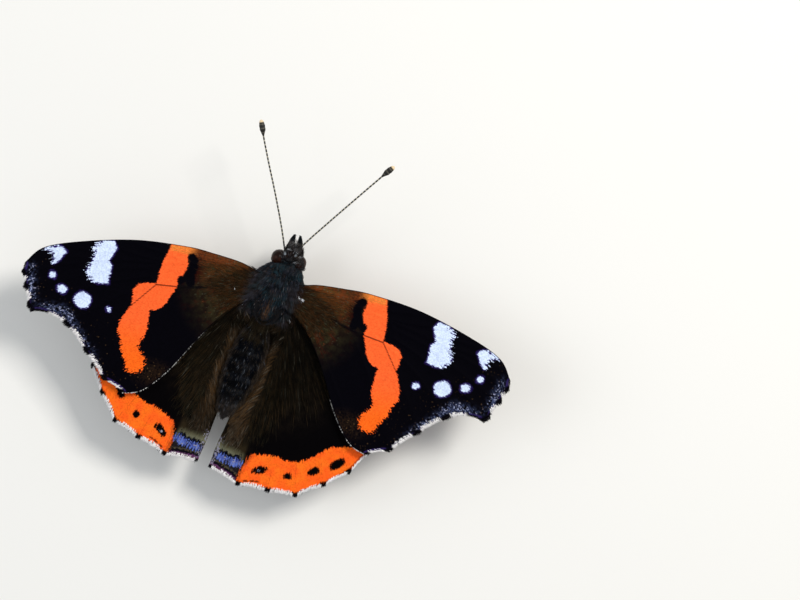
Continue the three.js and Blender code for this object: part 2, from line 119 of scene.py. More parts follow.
def depthInSpots(spots, places):
    # spots are squarish ovals: x, y, half width, half height, turn in degrees
    deepest = np.full(len(places), -1e9)
    for x, y, wide, high, turn in spots:
        c, s = math.cos(math.radians(turn)), math.sin(math.radians(turn))
        away = places - (x, y)
        across = np.abs(away @ (c, s) / wide) ** 2.5 + np.abs(away @ (-s, c) / high) ** 2.5
        deepest = np.maximum(deepest, (1 - across ** 0.4) * min(wide, high))
    return deepest


# Nodes

def plug(tree, socket, value):
    if isinstance(value, bpy.types.NodeSocket):
        tree.links.new(value, socket)
    else:
        socket.default_value = value


def addNode(tree, kind, sockets=None, **choices):
    made = tree.nodes.new(kind)
    for key, value in choices.items():
        setattr(made, key, value)
    for key, value in (sockets or {}).items():
        plug(tree, made.inputs[key], value)
    return made


def calc(tree, operation, *values, clamp=False):
    made = addNode(tree, "ShaderNodeMath", dict(enumerate(values)), operation=operation)
    made.use_clamp = clamp
    return made.outputs[0]


def times(tree, first, second, clamp=False):
    return calc(tree, "MULTIPLY", first, second, clamp=clamp)


def plus(tree, first, second):
    return calc(tree, "ADD", first, second)


def minus(tree, first, second):
    return calc(tree, "SUBTRACT", first, second)


def stretch(tree, vector, amounts):
    made = addNode(tree, "ShaderNodeVectorMath", {0: vector, 1: amounts}, operation="MULTIPLY")
    return made.outputs[0]


def blend(tree, amount, first, second, how="MIX"):
    made = addNode(tree, "ShaderNodeMix", data_type="RGBA", blend_type=how)
    for place, value in ((0, amount), (6, first), (7, second)):
        plug(tree, made.inputs[place], (*value, 1) if isinstance(value, tuple) else value)
    return made.outputs[2]


def fade(tree, value, low, high, start=0.0, end=1.0):
    sockets = {0: value, 1: low, 2: high, 3: start, 4: end}
    made = addNode(tree, "ShaderNodeMapRange", sockets, interpolation_type="SMOOTHSTEP")
    return made.outputs[0]


def painted(tree, name):
    return addNode(tree, "ShaderNodeAttribute", attribute_name=name).outputs["Fac"]


def objectPlace(tree):
    # the place on the piece in millimetres
    coordinates = addNode(tree, "ShaderNodeTexCoord").outputs["Object"]
    return stretch(tree, coordinates, (1000, 1000, 1000))


def noiseOn(tree, vector, scale, detail):
    made = addNode(tree, "ShaderNodeTexNoise", {"Vector": vector, "Scale": scale, "Detail": detail})
    return made.outputs["Fac"]


def greyOf(tree, value):
    return addNode(tree, "ShaderNodeCombineColor", {0: value, 1: value, 2: value}).outputs[0]


def bumpFrom(tree, shader, height, strength, depth, **choices):
    # depth in mm
    sockets = {"Height": height, "Strength": strength, "Distance": depth * mm}
    plug(tree, shader.inputs["Normal"], addNode(tree, "ShaderNodeBump", sockets, **choices).outputs[0])


def newGroup(name, inputs, outputs):
    tree = bpy.data.node_groups.new(name, "ShaderNodeTree")
    for label, kind in inputs.items():
        tree.interface.new_socket(label, in_out="INPUT", socket_type=f"NodeSocket{kind}")
    for label in outputs:
        tree.interface.new_socket(label, in_out="OUTPUT", socket_type="NodeSocketFloat")
    entry = addNode(tree, "NodeGroupInput").outputs
    result = addNode(tree, "NodeGroupOutput").inputs
    return tree, entry, result


def useGroup(tree, group, sockets):
    made = addNode(tree, "ShaderNodeGroup", node_tree=group)
    for key, value in sockets.items():
        plug(tree, made.inputs[key], value)
    return made.outputs


def makeScaleRows():
    # rows of tiny scales: streaks along the veins, a tone for each scale and their height
    tree, entry, result = newGroup("scale rows", {"Vane": "Vector", "Place": "Vector"},
                                   ("Streak", "Tone", "Height"))
    streak = times(tree, minus(tree, noiseOn(tree, entry["Vane"], 1, 2), 0.5), 4)
    cells = addNode(tree, "ShaderNodeTexVoronoi", {"Vector": entry["Place"], "Scale": 6.5})
    tone = addNode(tree, "ShaderNodeSeparateColor", {0: cells.outputs["Color"]}).outputs[0]
    plug(tree, result["Streak"], streak)
    plug(tree, result["Tone"], tone)
    plug(tree, result["Height"], cells.outputs["Distance"])
    return tree


def makeRaggedMark():
    # turns a depth inside a marking into a mask whose edge is broken up by the scales
    inputs = dict.fromkeys(("Depth", "Streak", "Tone", "Ragged", "Soft"), "Float")
    tree, entry, result = newGroup("ragged mark", inputs, ("Mask",))
    swing = times(tree, entry["Streak"], entry["Ragged"])
    grain = times(tree, minus(tree, entry["Tone"], 0.5), entry["Ragged"])
    depth = plus(tree, plus(tree, entry["Depth"], swing), grain)
    share = calc(tree, "MULTIPLY_ADD", calc(tree, "DIVIDE", depth, entry["Soft"]), 0.5, 0.5, clamp=True)
    plug(tree, result["Mask"], share)
    return tree


scaleRows = makeScaleRows()
raggedMark = makeRaggedMark()


def newMaterial(name):
    material = bpy.data.materials.new(name)
    material.use_nodes = True
    tree = material.node_tree
    return material, tree, tree.nodes["Principled BSDF"]


scaleFinish = {
    "rootShade": (0.006, 0.0065, 0.008),      # of a wing next to the body
    "tones": (0.84, 1.12), "relief": 0.25, "height": 0.03, "roughness": (0.5, 0.72), "gloss": 0.01,
}


class ScaledSurface:
    # a wing material under way: its scale pattern, and the marks laid over one another
    def __init__(self, name, ground, rows):
        self.material, self.tree, self.shader = newMaterial(name)
        self.vane = addNode(self.tree, "ShaderNodeUVMap", uv_map="vane").outputs[0]
        self.place = objectPlace(self.tree)
        self.scales = useGroup(self.tree, scaleRows, {
            "Vane": stretch(self.tree, self.vane, (*rows, 0)), "Place": self.place})
        self.colour = ground

    def mask(self, depth, ragged=0.12, soft=0.06):
        if isinstance(depth, str):
            depth = painted(self.tree, depth)
        return useGroup(self.tree, raggedMark, {
            "Depth": depth, "Streak": self.scales["Streak"], "Tone": self.scales["Tone"],
            "Ragged": ragged, "Soft": soft})["Mask"]

    def noise(self, size, low=0.35, high=0.65, detail=3):
        return fade(self.tree, noiseOn(self.tree, self.place, 1 / size, detail), low, high)

    def streaks(self, along, across, low=0.38, high=0.62):
        # soft streaks out from the root
        vector = stretch(self.tree, self.vane, (along, across, 0))
        return fade(self.tree, noiseOn(self.tree, vector, 1, 2), low, high)

    def lay(self, amount, colour, strength=1.0):
        if strength != 1:
            amount = times(self.tree, amount, strength)
        self.colour = blend(self.tree, amount, self.colour, colour)

    def dust(self, density, colour, strength=1.0):
        # single scales of another colour, as many as the density says
        rare = minus(self.tree, density, self.scales["Tone"])
        self.lay(times(self.tree, rare, 9, clamp=True), colour, strength)

    def close(self):
        tree, tone, finish = self.tree, self.scales["Tone"], scaleFinish
        self.lay(painted(tree, "root"), finish["rootShade"], 0.9)
        grey = greyOf(tree, fade(tree, tone, 0, 1, *finish["tones"]))
        plug(tree, self.shader.inputs["Base Color"], blend(tree, 1.0, self.colour, grey, "MULTIPLY"))
        bumpFrom(tree, self.shader, self.scales["Height"], finish["relief"], finish["height"])
        plug(tree, self.shader.inputs["Roughness"], fade(tree, tone, 0, 1, *finish["roughness"]))
        self.shader.inputs["Specular IOR Level"].default_value = finish["gloss"]
        return self.material


# Pieces

def addPiece(name, bm, materials, nodes=()):
    mesh = bpy.data.meshes.new(name)
    bm.to_mesh(mesh)
    bm.free()
    mesh.shade_smooth()
    return showPiece(name, mesh, materials, nodes)


def showPiece(name, mesh, materials, nodes=()):
    piece = bpy.data.objects.new(name, mesh)
    bpy.context.scene.collection.objects.link(piece)
    for material in materials:
        mesh.materials.append(material)
    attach(piece, "root")
    if nodes:
        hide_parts(*nodes)
    return piece


def paint(piece, **values):
    for name, column in values.items():
        attribute = piece.data.attributes.new(name, "FLOAT", "POINT")
        attribute.data.foreach_set("value", np.asarray(column, np.float32))


def cornersOf(bm):
    return np.array([v.co[:] for v in bm.verts])


def moveTo(bm, places):
    for vertex, place in zip(bm.verts, places):
        vertex.co = place


def lathe(line, around):
    # spins a line of (place along y, radius) into a closed form with a pole at each end
    bm = bmesh.new()
    verts = [bm.verts.new((radius, along, 0)) for along, radius in line]
    edges = [bm.edges.new(pair) for pair in zip(verts, verts[1:])]
    bmesh.ops.spin(bm, geom=verts + edges, cent=(0, 0, 0), axis=(0, 1, 0), dvec=(0, 0, 0),
                   angle=2 * math.pi, steps=around, use_merge=True, use_duplicate=False)
    bmesh.ops.remove_doubles(bm, verts=bm.verts, dist=1e-7)
    bmesh.ops.recalc_face_normals(bm, faces=bm.faces)
    return bm


def trianglesOf(piece):
    mesh = piece.data
    mesh.calc_loop_triangles()
    corners = np.zeros(len(mesh.loop_triangles) * 3, np.int32)
    mesh.loop_triangles.foreach_get("vertices", corners)
    places = np.zeros(len(mesh.vertices) * 3)
    mesh.vertices.foreach_get("co", places)
    normals = np.zeros(len(mesh.vertices) * 3)
    mesh.vertex_normals.foreach_get("vector", normals)
    return corners.reshape(-1, 3), toBody(places.reshape(-1, 3)), normals.reshape(-1, 3)


def scatter(piece, count, density, draw):
    # places on a piece drawn by area and density, with the surface normal at each
    corners, places, normals = trianglesOf(piece)
    a, b, c = (places[corners[:, k]] for k in range(3))
    weight = np.linalg.norm(np.cross(b - a, c - a), axis=1)
    weight *= density((a + b + c) / 3, unit(np.cross(b - a, c - a)))
    chosen = draw.choice(len(corners), count, p=weight / weight.sum())
    share = draw.random((count, 2))
    share = np.where(share.sum(1, keepdims=True) > 1, 1 - share, share)
    mix = np.stack((1 - share.sum(1), share[:, 0], share[:, 1]), 1)[:, :, None]
    roots = (places[corners[chosen]] * mix).sum(1)
    return roots, unit((normals[corners[chosen]] * mix).sum(1))


tuftRings = (0.0, 0.38, 0.74)      # where a tuft has its rings, before the tip
tuftThickness = (1.0, 0.92, 0.6)   # at the rings
tuftUsual = {"curl": 0.12, "perClump": 8, "gather": 0.45, "sink": 0.06, "tall": 1.0, "bright": 1.0}
clumpShade = 0.55                  # how far the tufts of a clump share one tone
lightTufts = 1.7                   # above one, most tufts are dark and a few light
patchSize = 0.003                  # of a tuft on the unwrap


def clumpTufts(roots, tips, perClump, draw):
    # the clump that each tuft belongs to, and the way from its tip to that of the tuft it leans on
    leaders = draw.choice(len(roots), max(1, len(roots) // perClump), replace=False)
    tree = KDTree(len(leaders))
    for i, leader in enumerate(leaders):
        tree.insert(roots[leader], i)
    tree.balance()
    clump = np.array([tree.find(root)[1] for root in roots])
    return clump, tips[leaders[clump]] - tips


def growTufts(name, roots, normals, aims, tuft, unwrap, marks, material, draw):
    # one joined mesh of tapered three-sided tufts that leave the skin at the lift and end at the lie
    tuft = tuftUsual | tuft
    count = len(roots)
    spread = draw.normal(0, tuft["spread"], count)[:, None]
    flat = unit(aims - (aims * normals).sum(1, keepdims=True) * normals)
    flat = unit(flat + np.cross(normals, flat) * spread)
    lift = np.radians(tuft["lift"]) * draw.uniform(0.7, 1.3, count)[:, None]
    lie = np.radians(tuft["lie"]) * draw.uniform(0.5, 1.5, count)[:, None]
    start = flat * np.cos(lift) + normals * np.sin(lift)
    end = flat * np.cos(lie) + normals * np.sin(lie)
    curl = draw.normal(0, tuft["curl"], (count, 1)) * np.cross(normals, flat)
    length = (tuft["length"] * draw.uniform(0.7, 1.25, count))[:, None]
    width = (tuft["width"] * draw.uniform(0.75, 1.2, count))[:, None]
    across = unit(np.cross(start, normals) + 0.35 * draw.normal(0, 1, (count, 1)) * normals)
    over = unit(np.cross(across, start))
    bend = (end - start + curl) / 2
    clump, lean = clumpTufts(roots, roots + length * (start + bend), tuft["perClump"], draw)
    lean = lean * tuft["gather"]
    rings = []
    for reach in (*tuftRings, 1.0):
        middle = roots - normals * tuft["sink"]
        rings.append(middle + length * start * reach + (length * bend + lean) * reach**2)
    columns = []
    for middle, share in zip(rings, tuftThickness):
        half = width * share / 2
        columns += [middle - across * half, middle + across * half, middle + over * half * tuft["tall"]]
    columns.append(rings[-1])
    places = np.stack(columns, 1)
    places[..., 2] = np.maximum(places[..., 2], 0.01)      # none goes through the floor
    faces = []
    for ring in range(len(tuftRings) - 1):
        for side in range(3):
            a, b = ring * 3 + side, ring * 3 + (side + 1) % 3
            faces += [(a, b, b + 3), (a, b + 3, a + 3)]
    last = (len(tuftRings) - 1) * 3
    tip = last + 3
    faces += [(last + side, last + (side + 1) % 3, tip) for side in range(3)]
    faces.append((2, 1, 0))
    perTuft = tip + 1
    corners = (np.arange(count)[:, None, None] * perTuft + np.array(faces)).reshape(-1)
    mesh = bpy.data.meshes.new(name)
    mesh.vertices.add(count * perTuft)
    mesh.vertices.foreach_set("co", toFrame(places.reshape(-1, 3)).ravel())
    mesh.loops.add(len(corners))
    mesh.loops.foreach_set("vertex_index", corners)
    mesh.polygons.add(len(corners) // 3)
    mesh.polygons.foreach_set("loop_start", np.arange(0, len(corners), 3))
    mesh.update(calc_edges=True)
    mesh.validate()
    mesh.shade_smooth()
    # its patch on the unwrap: rings along one way, sides along the other
    reachRow = np.array([reach for reach in tuftRings for side in range(3)] + [1.0])
    sideRow = np.array([-0.45, 0.45, 0.1] * len(tuftRings) + [0.0])
    slant = np.array([0.0, 0.0, -0.08] * len(tuftRings) + [0.0])
    patch = np.stack((sideRow, (reachRow - 0.5) * 0.9 + slant), 1) * patchSize
    spots = (np.asarray(unwrap)[:, None, :] + patch).reshape(-1, 2)
    layer = mesh.uv_layers.new(name="OFBake")
    layer.data.foreach_set("uv", spots[corners].ravel())
    piece = showPiece(name, mesh, [material])
    shade = (1 - clumpShade) * draw.random(count)
    shade = shade + clumpShade * draw.random(clump.max() + 1)[clump]
    paint(piece, reach=np.tile(reachRow, count))
    for label, column in {"shade": shade**lightTufts * tuft["bright"], **marks}.items():
        paint(piece, **{label: np.repeat(np.asarray(column, float), perTuft)})


def spreadOver(places):
    # a flat unwrap that fills the square with room for a patch at its edges
    low, high = places.min(0), places.max(0)
    return 0.02 + 0.96 * (places - low) / (high - low)


hairColours = {
    "body": {"deep": (0.0022, 0.0026, 0.004), "tone": (0.040, 0.050, 0.074),
             "cool": (0.024, 0.060, 0.080), "pale": (0.26, 0.26, 0.27), "warm": (0.11, 0.055, 0.028),
             "root": 0.3},
    "belly": {"deep": (0.0010, 0.0013, 0.0020), "tone": (0.0055, 0.0056, 0.007),
              "cool": (0.003, 0.0055, 0.013), "pale": (0.14, 0.155, 0.185), "warm": (0.110, 0.080, 0.056),
              "root": 0.3},
    "wing": {"deep": (0.0022, 0.0018, 0.0014), "tone": (0.024, 0.019, 0.012),
             "cool": (0.017, 0.017, 0.011), "pale": (0.24, 0.235, 0.18), "warm": (0.060, 0.036, 0.015),
             "root": 0.5},
    # beside the abdomen
    "side": {"deep": (0.013, 0.009, 0.005), "tone": (0.155, 0.108, 0.070),
             "cool": (0.105, 0.078, 0.052), "pale": (0.32, 0.30, 0.24), "warm": (0.180, 0.092, 0.034),
             "root": 0.4},
    # at the forewing's base
    "base": {"deep": (0.008, 0.005, 0.003), "tone": (0.070, 0.052, 0.020),
             "cool": (0.052, 0.054, 0.024), "pale": (0.17, 0.19, 0.14), "warm": (0.150, 0.048, 0.012),
             "root": 0.5},
    "leg": {"deep": (0.012, 0.008, 0.005), "tone": (0.05, 0.033, 0.02), "cool": (0.04, 0.033, 0.024),
            "pale": (0.26, 0.22, 0.16), "warm": (0.14, 0.09, 0.05), "root": 0.5},
    "fringe": {"deep": (0.0025, 0.0025, 0.004), "tone": (0.008, 0.006, 0.008),
               "cool": (0.008, 0.006, 0.008), "pale": (0.97, 0.955, 0.92), "warm": (0.55, 0.46, 0.66),
               "root": 1.0},
}
silverColour = (0.80, 0.84, 0.90)    # of the few tufts whose pale goes above one
hairRoughness = 0.5
hairGloss = 0.03


def hairMaterial(name, colours):
    # darker at the root, with cool patches; pale and warm say how much of those colours a tuft has
    material, tree, shader = newMaterial(name)
    patches = fade(tree, noiseOn(tree, objectPlace(tree), 0.6, 2), 0.42, 0.58)
    tone = blend(tree, patches, colours["tone"], colours["cool"])
    colour = blend(tree, painted(tree, "shade"), colours["deep"], tone)
    for mark in ("pale", "warm"):
        colour = blend(tree, painted(tree, mark), colour, colours[mark])
    colour = blend(tree, fade(tree, painted(tree, "pale"), 1.0, 2.2), colour, silverColour)
    root = greyOf(tree, fade(tree, painted(tree, "reach"), 0, 0.6, colours["root"], 1))
    plug(tree, shader.inputs["Base Color"], blend(tree, 1.0, colour, root, "MULTIPLY"))
    shader.inputs["Roughness"].default_value = hairRoughness
    shader.inputs["Specular IOR Level"].default_value = hairGloss
    return material


hair = {coatKind: hairMaterial(f"{coatKind} hair", hairColours[coatKind]) for coatKind in hairColours}
print("materials for the hair are ready")


# Body: its sections from the tail to the neck and on the head, as in the solids

body = {
    # place along y, half width, top, bottom
    "trunk": [(-17.7, 0.4, 7.2, 6.5), (-17, 0.95, 7.7, 6), (-15, 1.75, 8.4, 5.2), (-12, 2.3, 8.95, 4.7),
              (-9, 2.42, 9.1, 4.6), (-6, 2.15, 8.9, 4.75), (-3.9, 1.95, 8.7, 4.7), (-2.8, 2.5, 9.05, 4),
              (-1.2, 3.2, 9.5, 3.5), (1, 3.62, 9.65, 3.4), (3.2, 3.62, 9.2, 3.65), (4.2, 3.1, 8.7, 4),
              (4.9, 2.45, 8.2, 4.4), (5.4, 2.2, 7.9, 4.7)],
    "aside": [(1, 0), (3.2, 0.1), (4.2, 0.22), (4.9, 0.34), (5.4, 0.4)],
    "head": [(0.7, 1.5, 7.9, 5.1), (1.3, 1.72, 8.3, 4.75), (1.9, 1.66, 8.4, 4.65),
             (2.5, 1.3, 8.1, 4.95), (2.9, 0.85, 7.6, 5.5), (3.08, 0.4, 7.1, 6.1)],
    "neck": (0.53, 4.8),
    "headYaw": 6,
    "coat": {"abdomen": 0.2, "thorax": 0.32, "head": 0.14},
    "rings": {"from": -4.05, "count": 7, "depth": 0.06},
    # the groove round the shield at the back of the thorax
    "groove": [(-1.4, -0.8), (-1.25, -2.1), (-0.7, -2.95), (0.2, -3.3), (1.1, -2.95), (1.65, -2.1),
               (1.85, -0.8)],
    "grooveWidth": 0.22,
    "grooveDepth": 0.36,
    "shield": {"x": 0.2, "y": -2.2, "wide": 1.2, "long": 0.85, "rise": 0.28},
    "waist": {"y": 5.25, "long": 0.28, "depth": 0.12},     # where the neck draws in
    "roundness": 0.92,                 # of the sections: below one they are a little square
    "around": 96,
    "rows": 260,
    "skin": {"thorax": (0.004, 0.0045, 0.006), "abdomen": (0.005, 0.005, 0.006),
             "mottle": (0.009, 0.008, 0.008), "border": (-4.4, -3.6)},
}


def alongRows(rows, place):
    # smooth values between rows, with the slope at each row taken from its neighbours
    rows = np.asarray(rows, float)
    keys, values = rows[:, 0], rows[:, 1:]
    slopes = np.gradient(values, keys, axis=0)
    place = np.clip(place, keys[0], keys[-1])
    index = np.clip(np.searchsorted(keys, place) - 1, 0, len(keys) - 2)
    gap = (keys[index + 1] - keys[index])[..., None]
    t = (place - keys[index])[..., None] / gap
    first, last = values[index], values[index + 1]
    bend = (t**3 - 2 * t**2 + t) * gap * slopes[index] + (t**3 - t**2) * gap * slopes[index + 1]
    made = first + (last - first) * (3 * t**2 - 2 * t**3) + bend
    return made[..., 0], made[..., 1], made[..., 2]


headTop = body["neck"][1] + body["head"][-1][0]
yaw = math.radians(body["headYaw"])


def turnHead(places, whole=False):
    # the head and what it carries turn a little about the neck
    neckX, neckY = body["neck"]
    share = 1 if whole else rampUp(places[:, 1], neckY - 0.2, neckY + 0.6)
    turn = yaw * share
    shift = neckX * share + np.interp(places[:, 1], *zip(*body["aside"])) * (1 - share)
    x, y = places[:, 0], places[:, 1] - neckY
    turned = places.copy()
    turned[:, 0] = x * np.cos(turn) - y * np.sin(turn) + shift
    turned[:, 1] = x * np.sin(turn) + y * np.cos(turn) + neckY
    return turned


def onHead(points, side=1):
    # points on the head's own axes, which start at the neck, in body millimetres
    places = np.array(points, float).reshape(-1, 3) * (side, 1, 1) + (0, body["neck"][1], 0)
    return turnHead(places, whole=True)


def grooveGap(places):
    return distanceTo(smoothLine(body["groove"], 40), places[:, :2])


def makeBody():
    neckY = body["neck"][1]
    headRows = [(y + neckY, *rest) for y, *rest in body["head"]]
    rows = body["trunk"][:-1] + headRows
    ends = (tailEnd + 0.05, headTop - 0.05)
    share = 0.5 - 0.5 * np.cos(np.linspace(0, math.pi, body["rows"]))
    steps = 0.75 * np.linspace(0, 1, body["rows"]) + 0.25 * share
    line = [(along, 1) for along in ends[0] + (ends[1] - ends[0]) * steps]
    line[0] = (line[0][0], 0)
    line[-1] = (line[-1][0], 0)
    bm = lathe(line, body["around"])
    unitPlaces = cornersOf(bm)
    y = unitPlaces[:, 1]
    angle = np.arctan2(unitPlaces[:, 2], unitPlaces[:, 0])
    radius = np.hypot(unitPlaces[:, 0], unitPlaces[:, 2])
    half, top, bottom = alongRows(rows, y)
    coat = body["coat"]
    inward = coat["abdomen"] + (coat["thorax"] - coat["abdomen"]) * rampUp(y, -5, -3)
    inward = inward + (coat["head"] - coat["thorax"]) * rampUp(y, 4.6, 5.6)
    rings = body["rings"]
    ringShare = np.clip((rings["from"] - y) / (rings["from"] - tailEnd), 0, 1)
    saw = (ringShare * rings["count"]) % 1
    crease = rings["depth"] * (rampUp(saw, 0.0, 0.18) * (1 - 0.35 * saw) - 1) * (ringShare > 0)
    narrow = 1 + crease * rampUp(ringShare, 0, 0.06)
    waist = body["waist"]
    neckDip = 1 - waist["depth"] * np.exp(-(((y - waist["y"]) / waist["long"]) ** 2))
    circle = np.stack((np.cos(angle), np.sin(angle)))
    wide, high = np.sign(circle) * np.abs(circle) ** body["roundness"]
    halfHigh = (top - bottom) / 2
    x = radius * (half * narrow * neckDip - inward) * wide
    z = (top + bottom) / 2 + radius * (halfHigh * narrow * neckDip - inward) * high
    places = np.stack((x, y, z), 1)
    above = np.maximum(0, np.sin(angle))
    shield = body["shield"]
    dome = np.exp(-(((x - shield["x"]) / shield["wide"]) ** 2) - ((y - shield["y"]) / shield["long"]) ** 2)
    groove = np.exp(-((grooveGap(places) / body["grooveWidth"]) ** 2))
    places[:, 2] += above * (shield["rise"] * dome - body["grooveDepth"] * groove)
    moveTo(bm, toFrame(turnHead(places)))
    bm.normal_update()
    nodes = ("prothorax", "thorax", "abdomen", "head")
    piece = addPiece("body_skin", bm, [skinMaterial()], nodes)
    paint(piece, along=y)
    return piece


def skinMaterial():
    skin = body["skin"]
    material, tree, shader = newMaterial("dark skin")
    noise = noiseOn(tree, objectPlace(tree), 2.5, 5)
    abdomen = fade(tree, painted(tree, "along"), *skin["border"], 1, 0)
    ground = blend(tree, abdomen, skin["thorax"], skin["abdomen"])
    tone = fade(tree, noise, 0.35, 0.65)
    plug(tree, shader.inputs["Base Color"], blend(tree, tone, ground, skin["mottle"]))
    bumpFrom(tree, shader, noise, 0.5, 0.08)
    plug(tree, shader.inputs["Roughness"], fade(tree, noise, 0.3, 0.7, 0.45, 0.7))
    shader.inputs["Specular IOR Level"].default_value = 0.04
    return material


bodySkin = makeBody()
print("body skin is shaped")


# Wings: their sides and veins in mm, a forewing from its hinge and a hindwing from the body's axes

wings = {
    "rootHeight": 7.9, "archSpan": 34, "archRise": 2.1, "crownY": -3, "fall": 0.0022, "split": 1.16,
    # the trough for the abdomen: where it starts and ends, how far below the body and how wide
    "gutterFront": (2.4, 5.2), "gutterBack": (17.2, 23.4), "gutterClearance": 0.85, "gutterLip": 2.8,
    "gutterFloor": 0.4,
    "thickness": 0.2, "veinRise": 0.085, "veinWidth": 0.2, "pleat": 0.07,
    "hinge": (2.07, 2.8),
    "sweep": {"right": 9.44, "left": -9.44},
}

forewing = {
    "cells": (170, 106),
    "fringe": 0.42,                 # the membrane stops this far inside the teeth
    "rows": (34, 100),              # streaks of scales along and across
    "root": [(-0.8, 0.3), (-0.8, -1.9)],
    "costa": [(-0.8, 0.3), (1.7, 0.72), (3.8, 1.2), (7.5, 1.5), (11.3, 1.6), (18.6, 0.85), (26.3, -1.2),
              (31, -3.2), (33, -5.9)],
    "teeth": [(33, -5.9), (33.2, -7.3), (32.5, -9.2), (31.45, -11.7), (30.7, -12.35), (25.6, -13.1),
              (22.2, -16.1), (18.9, -19.35), (15.65, -20.5)],
    "scallops": [0.05, 0.28, 0.3, 0, 0.65, 0.3, 0.25, 0.2],
    "hind": [(-0.8, -1.9), (0.4, -2.7), (3.4, -5.4), (6.65, -9.9), (10, -15.8), (13, -19.45),
             (15.65, -20.5)],
    "veins": {
        "subcosta": [(-0.2, 0.1), (5, 0.45), (9.5, 0.6), (13.6, 1.15)],
        "radius": [(-0.2, -0.5), (5.5, -0.45), (10, -0.6), (14.6, -1.5)],
        "radial1": [(9.6, -0.6), (13, -0.25), (19, 0.5)],
        "radial2": [(13.6, -1.3), (18.5, -1.05), (23.4, -0.5)],
        "radialStem": [(14.6, -1.5), (19, -2.2), (22, -2.9)],
        "radial3": [(19, -2.2), (24, -1.95), (28.4, -2.3)],
        "radial4": [(22, -2.9), (27, -3.4), (31.9, -4.6)],
        "radial5": [(22, -2.9), (28, -4.9), (33, -7.2)],
        "media1": [(15.3, -2.4), (21, -3.9), (27.6, -7.1), (32.3, -9.1)],
        "media2": [(15.5, -3.6), (20.5, -5.6), (25.6, -8.3), (31.2, -11.6)],
        "media3": [(14.4, -4.6), (19, -7.2), (22.2, -9.9), (25.4, -12.9)],
        "cubital1": [(14.4, -4.6), (17.1, -8.2), (20, -12.4), (22, -15.9)],
        "cubital2": [(9.6, -3.9), (13.4, -9.6), (16.6, -15), (18.7, -19.1)],
        "cubitus": [(-0.2, -1.1), (5, -2.6), (9.6, -3.9), (14.4, -4.6)],
        "anal": [(-0.2, -1.7), (4.6, -5.6), (9, -11.9), (12.6, -17.2), (15.4, -20.2)],
        "cellEnd": [(14.6, -1.5), (15.3, -2.4), (15.5, -3.6), (14.4, -4.6)],
    },
}

hindwing = {
    "cells": (150, 116),
    "fringe": 0.42,
    "rows": (22, 110),
    "root": [(1.7, 0.9), (1.5, -0.9)],
    "costa": [(1.7, 0.9), (4, 1), (8, 0.2), (12, -2), (16, -5.4), (19.2, -9.2), (20.9, -12.2),
              (21.3, -14.6)],
    "teeth": [(21.3, -14.6), (19.75, -18.35), (17.1, -21.5), (13.9, -24.5), (9.95, -25.4), (5.7, -26.2),
              (0.9, -25.3)],
    "scallops": [0.12, 0.12, 0.18, 0.15, 0.18, 0.08],
    "hind": [(1.5, -0.9), (1.7, -2.7), (1.9, -5), (1.3, -7.6), (0.9, -12), (0.95, -18), (0.8, -22),
             (0.9, -25.3)],
    "veins": {
        "subcosta": [(2.2, 0.2), (7, -0.9), (13, -4.2), (18.2, -8.8), (20.6, -12.2)],
        "radius": [(2.3, -0.4), (5.6, -3.2), (8.2, -5.4)],
        "radialSector": [(5.6, -3.2), (12, -6.8), (17.5, -11), (21.1, -14.5)],
        "media1": [(8.2, -5.4), (14, -11.5), (19.5, -18.1)],
        "media2": [(8.4, -6.8), (13.3, -14.5), (16.8, -21.1)],
        "media3": [(7.6, -8.8), (11, -16.5), (13.7, -24)],
        "cubital1": [(6.9, -9.2), (8.6, -17), (9.85, -24.9)],
        "cubital2": [(5.2, -6.6), (5.9, -15), (5.65, -25.7)],
        "cubitus": [(2.5, -1), (5.2, -6.6), (6.9, -9.2), (7.6, -8.8)],
        "anal2": [(2.6, -2.1), (3.9, -9), (3.3, -18), (1.6, -24.5)],
        "anal3": [(2.3, -3.4), (2.5, -8), (2.2, -12.5), (1.2, -16)],
        "cellEnd": [(8.2, -5.4), (8.4, -6.8), (7.6, -8.8)],
    },
}


def archHeight(x, y):
    out = np.minimum(np.abs(x) / wings["archSpan"], 1)
    arch = wings["archRise"] * (1 - (1 - out) ** 2)
    return wings["rootHeight"] + arch - wings["fall"] * (y - wings["crownY"]) ** 2


def gutterDepth(x, y):
    half, _, bottom = alongRows(body["trunk"], np.clip(y, tailEnd, body["rings"]["from"]))
    level = archHeight(0, y) - wings["split"] / 2
    depth = np.maximum(0, level - (bottom - wings["gutterClearance"]))
    along = rampUp(-y, *wings["gutterFront"]) * (1 - rampUp(-y, *wings["gutterBack"]))
    across = 1 - rampUp(np.abs(x), half * wings["gutterFloor"], half + wings["gutterLip"])
    return depth * along * across


def wingHeight(kind, x, y):
    if kind == "forewing":
        return archHeight(x, y) + wings["split"] / 2
    return archHeight(x, y) - wings["split"] / 2 - gutterDepth(x, y)


def onWing(kind, plan, raised=0.0):
    # places on a wing's middle surface, or above or below it, and the normals there
    x, y = plan.T
    step = 0.05
    slopeX = (wingHeight(kind, x + step, y) - wingHeight(kind, x - step, y)) / (2 * step)
    slopeY = (wingHeight(kind, x, y + step) - wingHeight(kind, x, y - step)) / (2 * step)
    normals = unit(np.stack((-slopeX, -slopeY, np.ones(len(x))), 1))
    middle = np.stack((x, y, wingHeight(kind, x, y)), 1)
    return middle + normals * np.reshape(raised, (-1, 1)), normals


def fromHinge(kind, places, name):
    # from a wing's own axes to the body's
    if kind == "forewing":
        turn = math.radians(wings["sweep"][name])
        c, s = math.cos(turn), math.sin(turn)
        places = places @ np.array(((c, s), (-s, c))) + wings["hinge"]
    return places * (sides[name], 1)


def toHinge(kind, places, name):
    places = places[:, :2] * (sides[name], 1)
    if kind == "forewing":
        turn = math.radians(wings["sweep"][name])
        c, s = math.cos(turn), math.sin(turn)
        places = (places - wings["hinge"]) @ np.array(((c, -s), (s, c)))
    return places


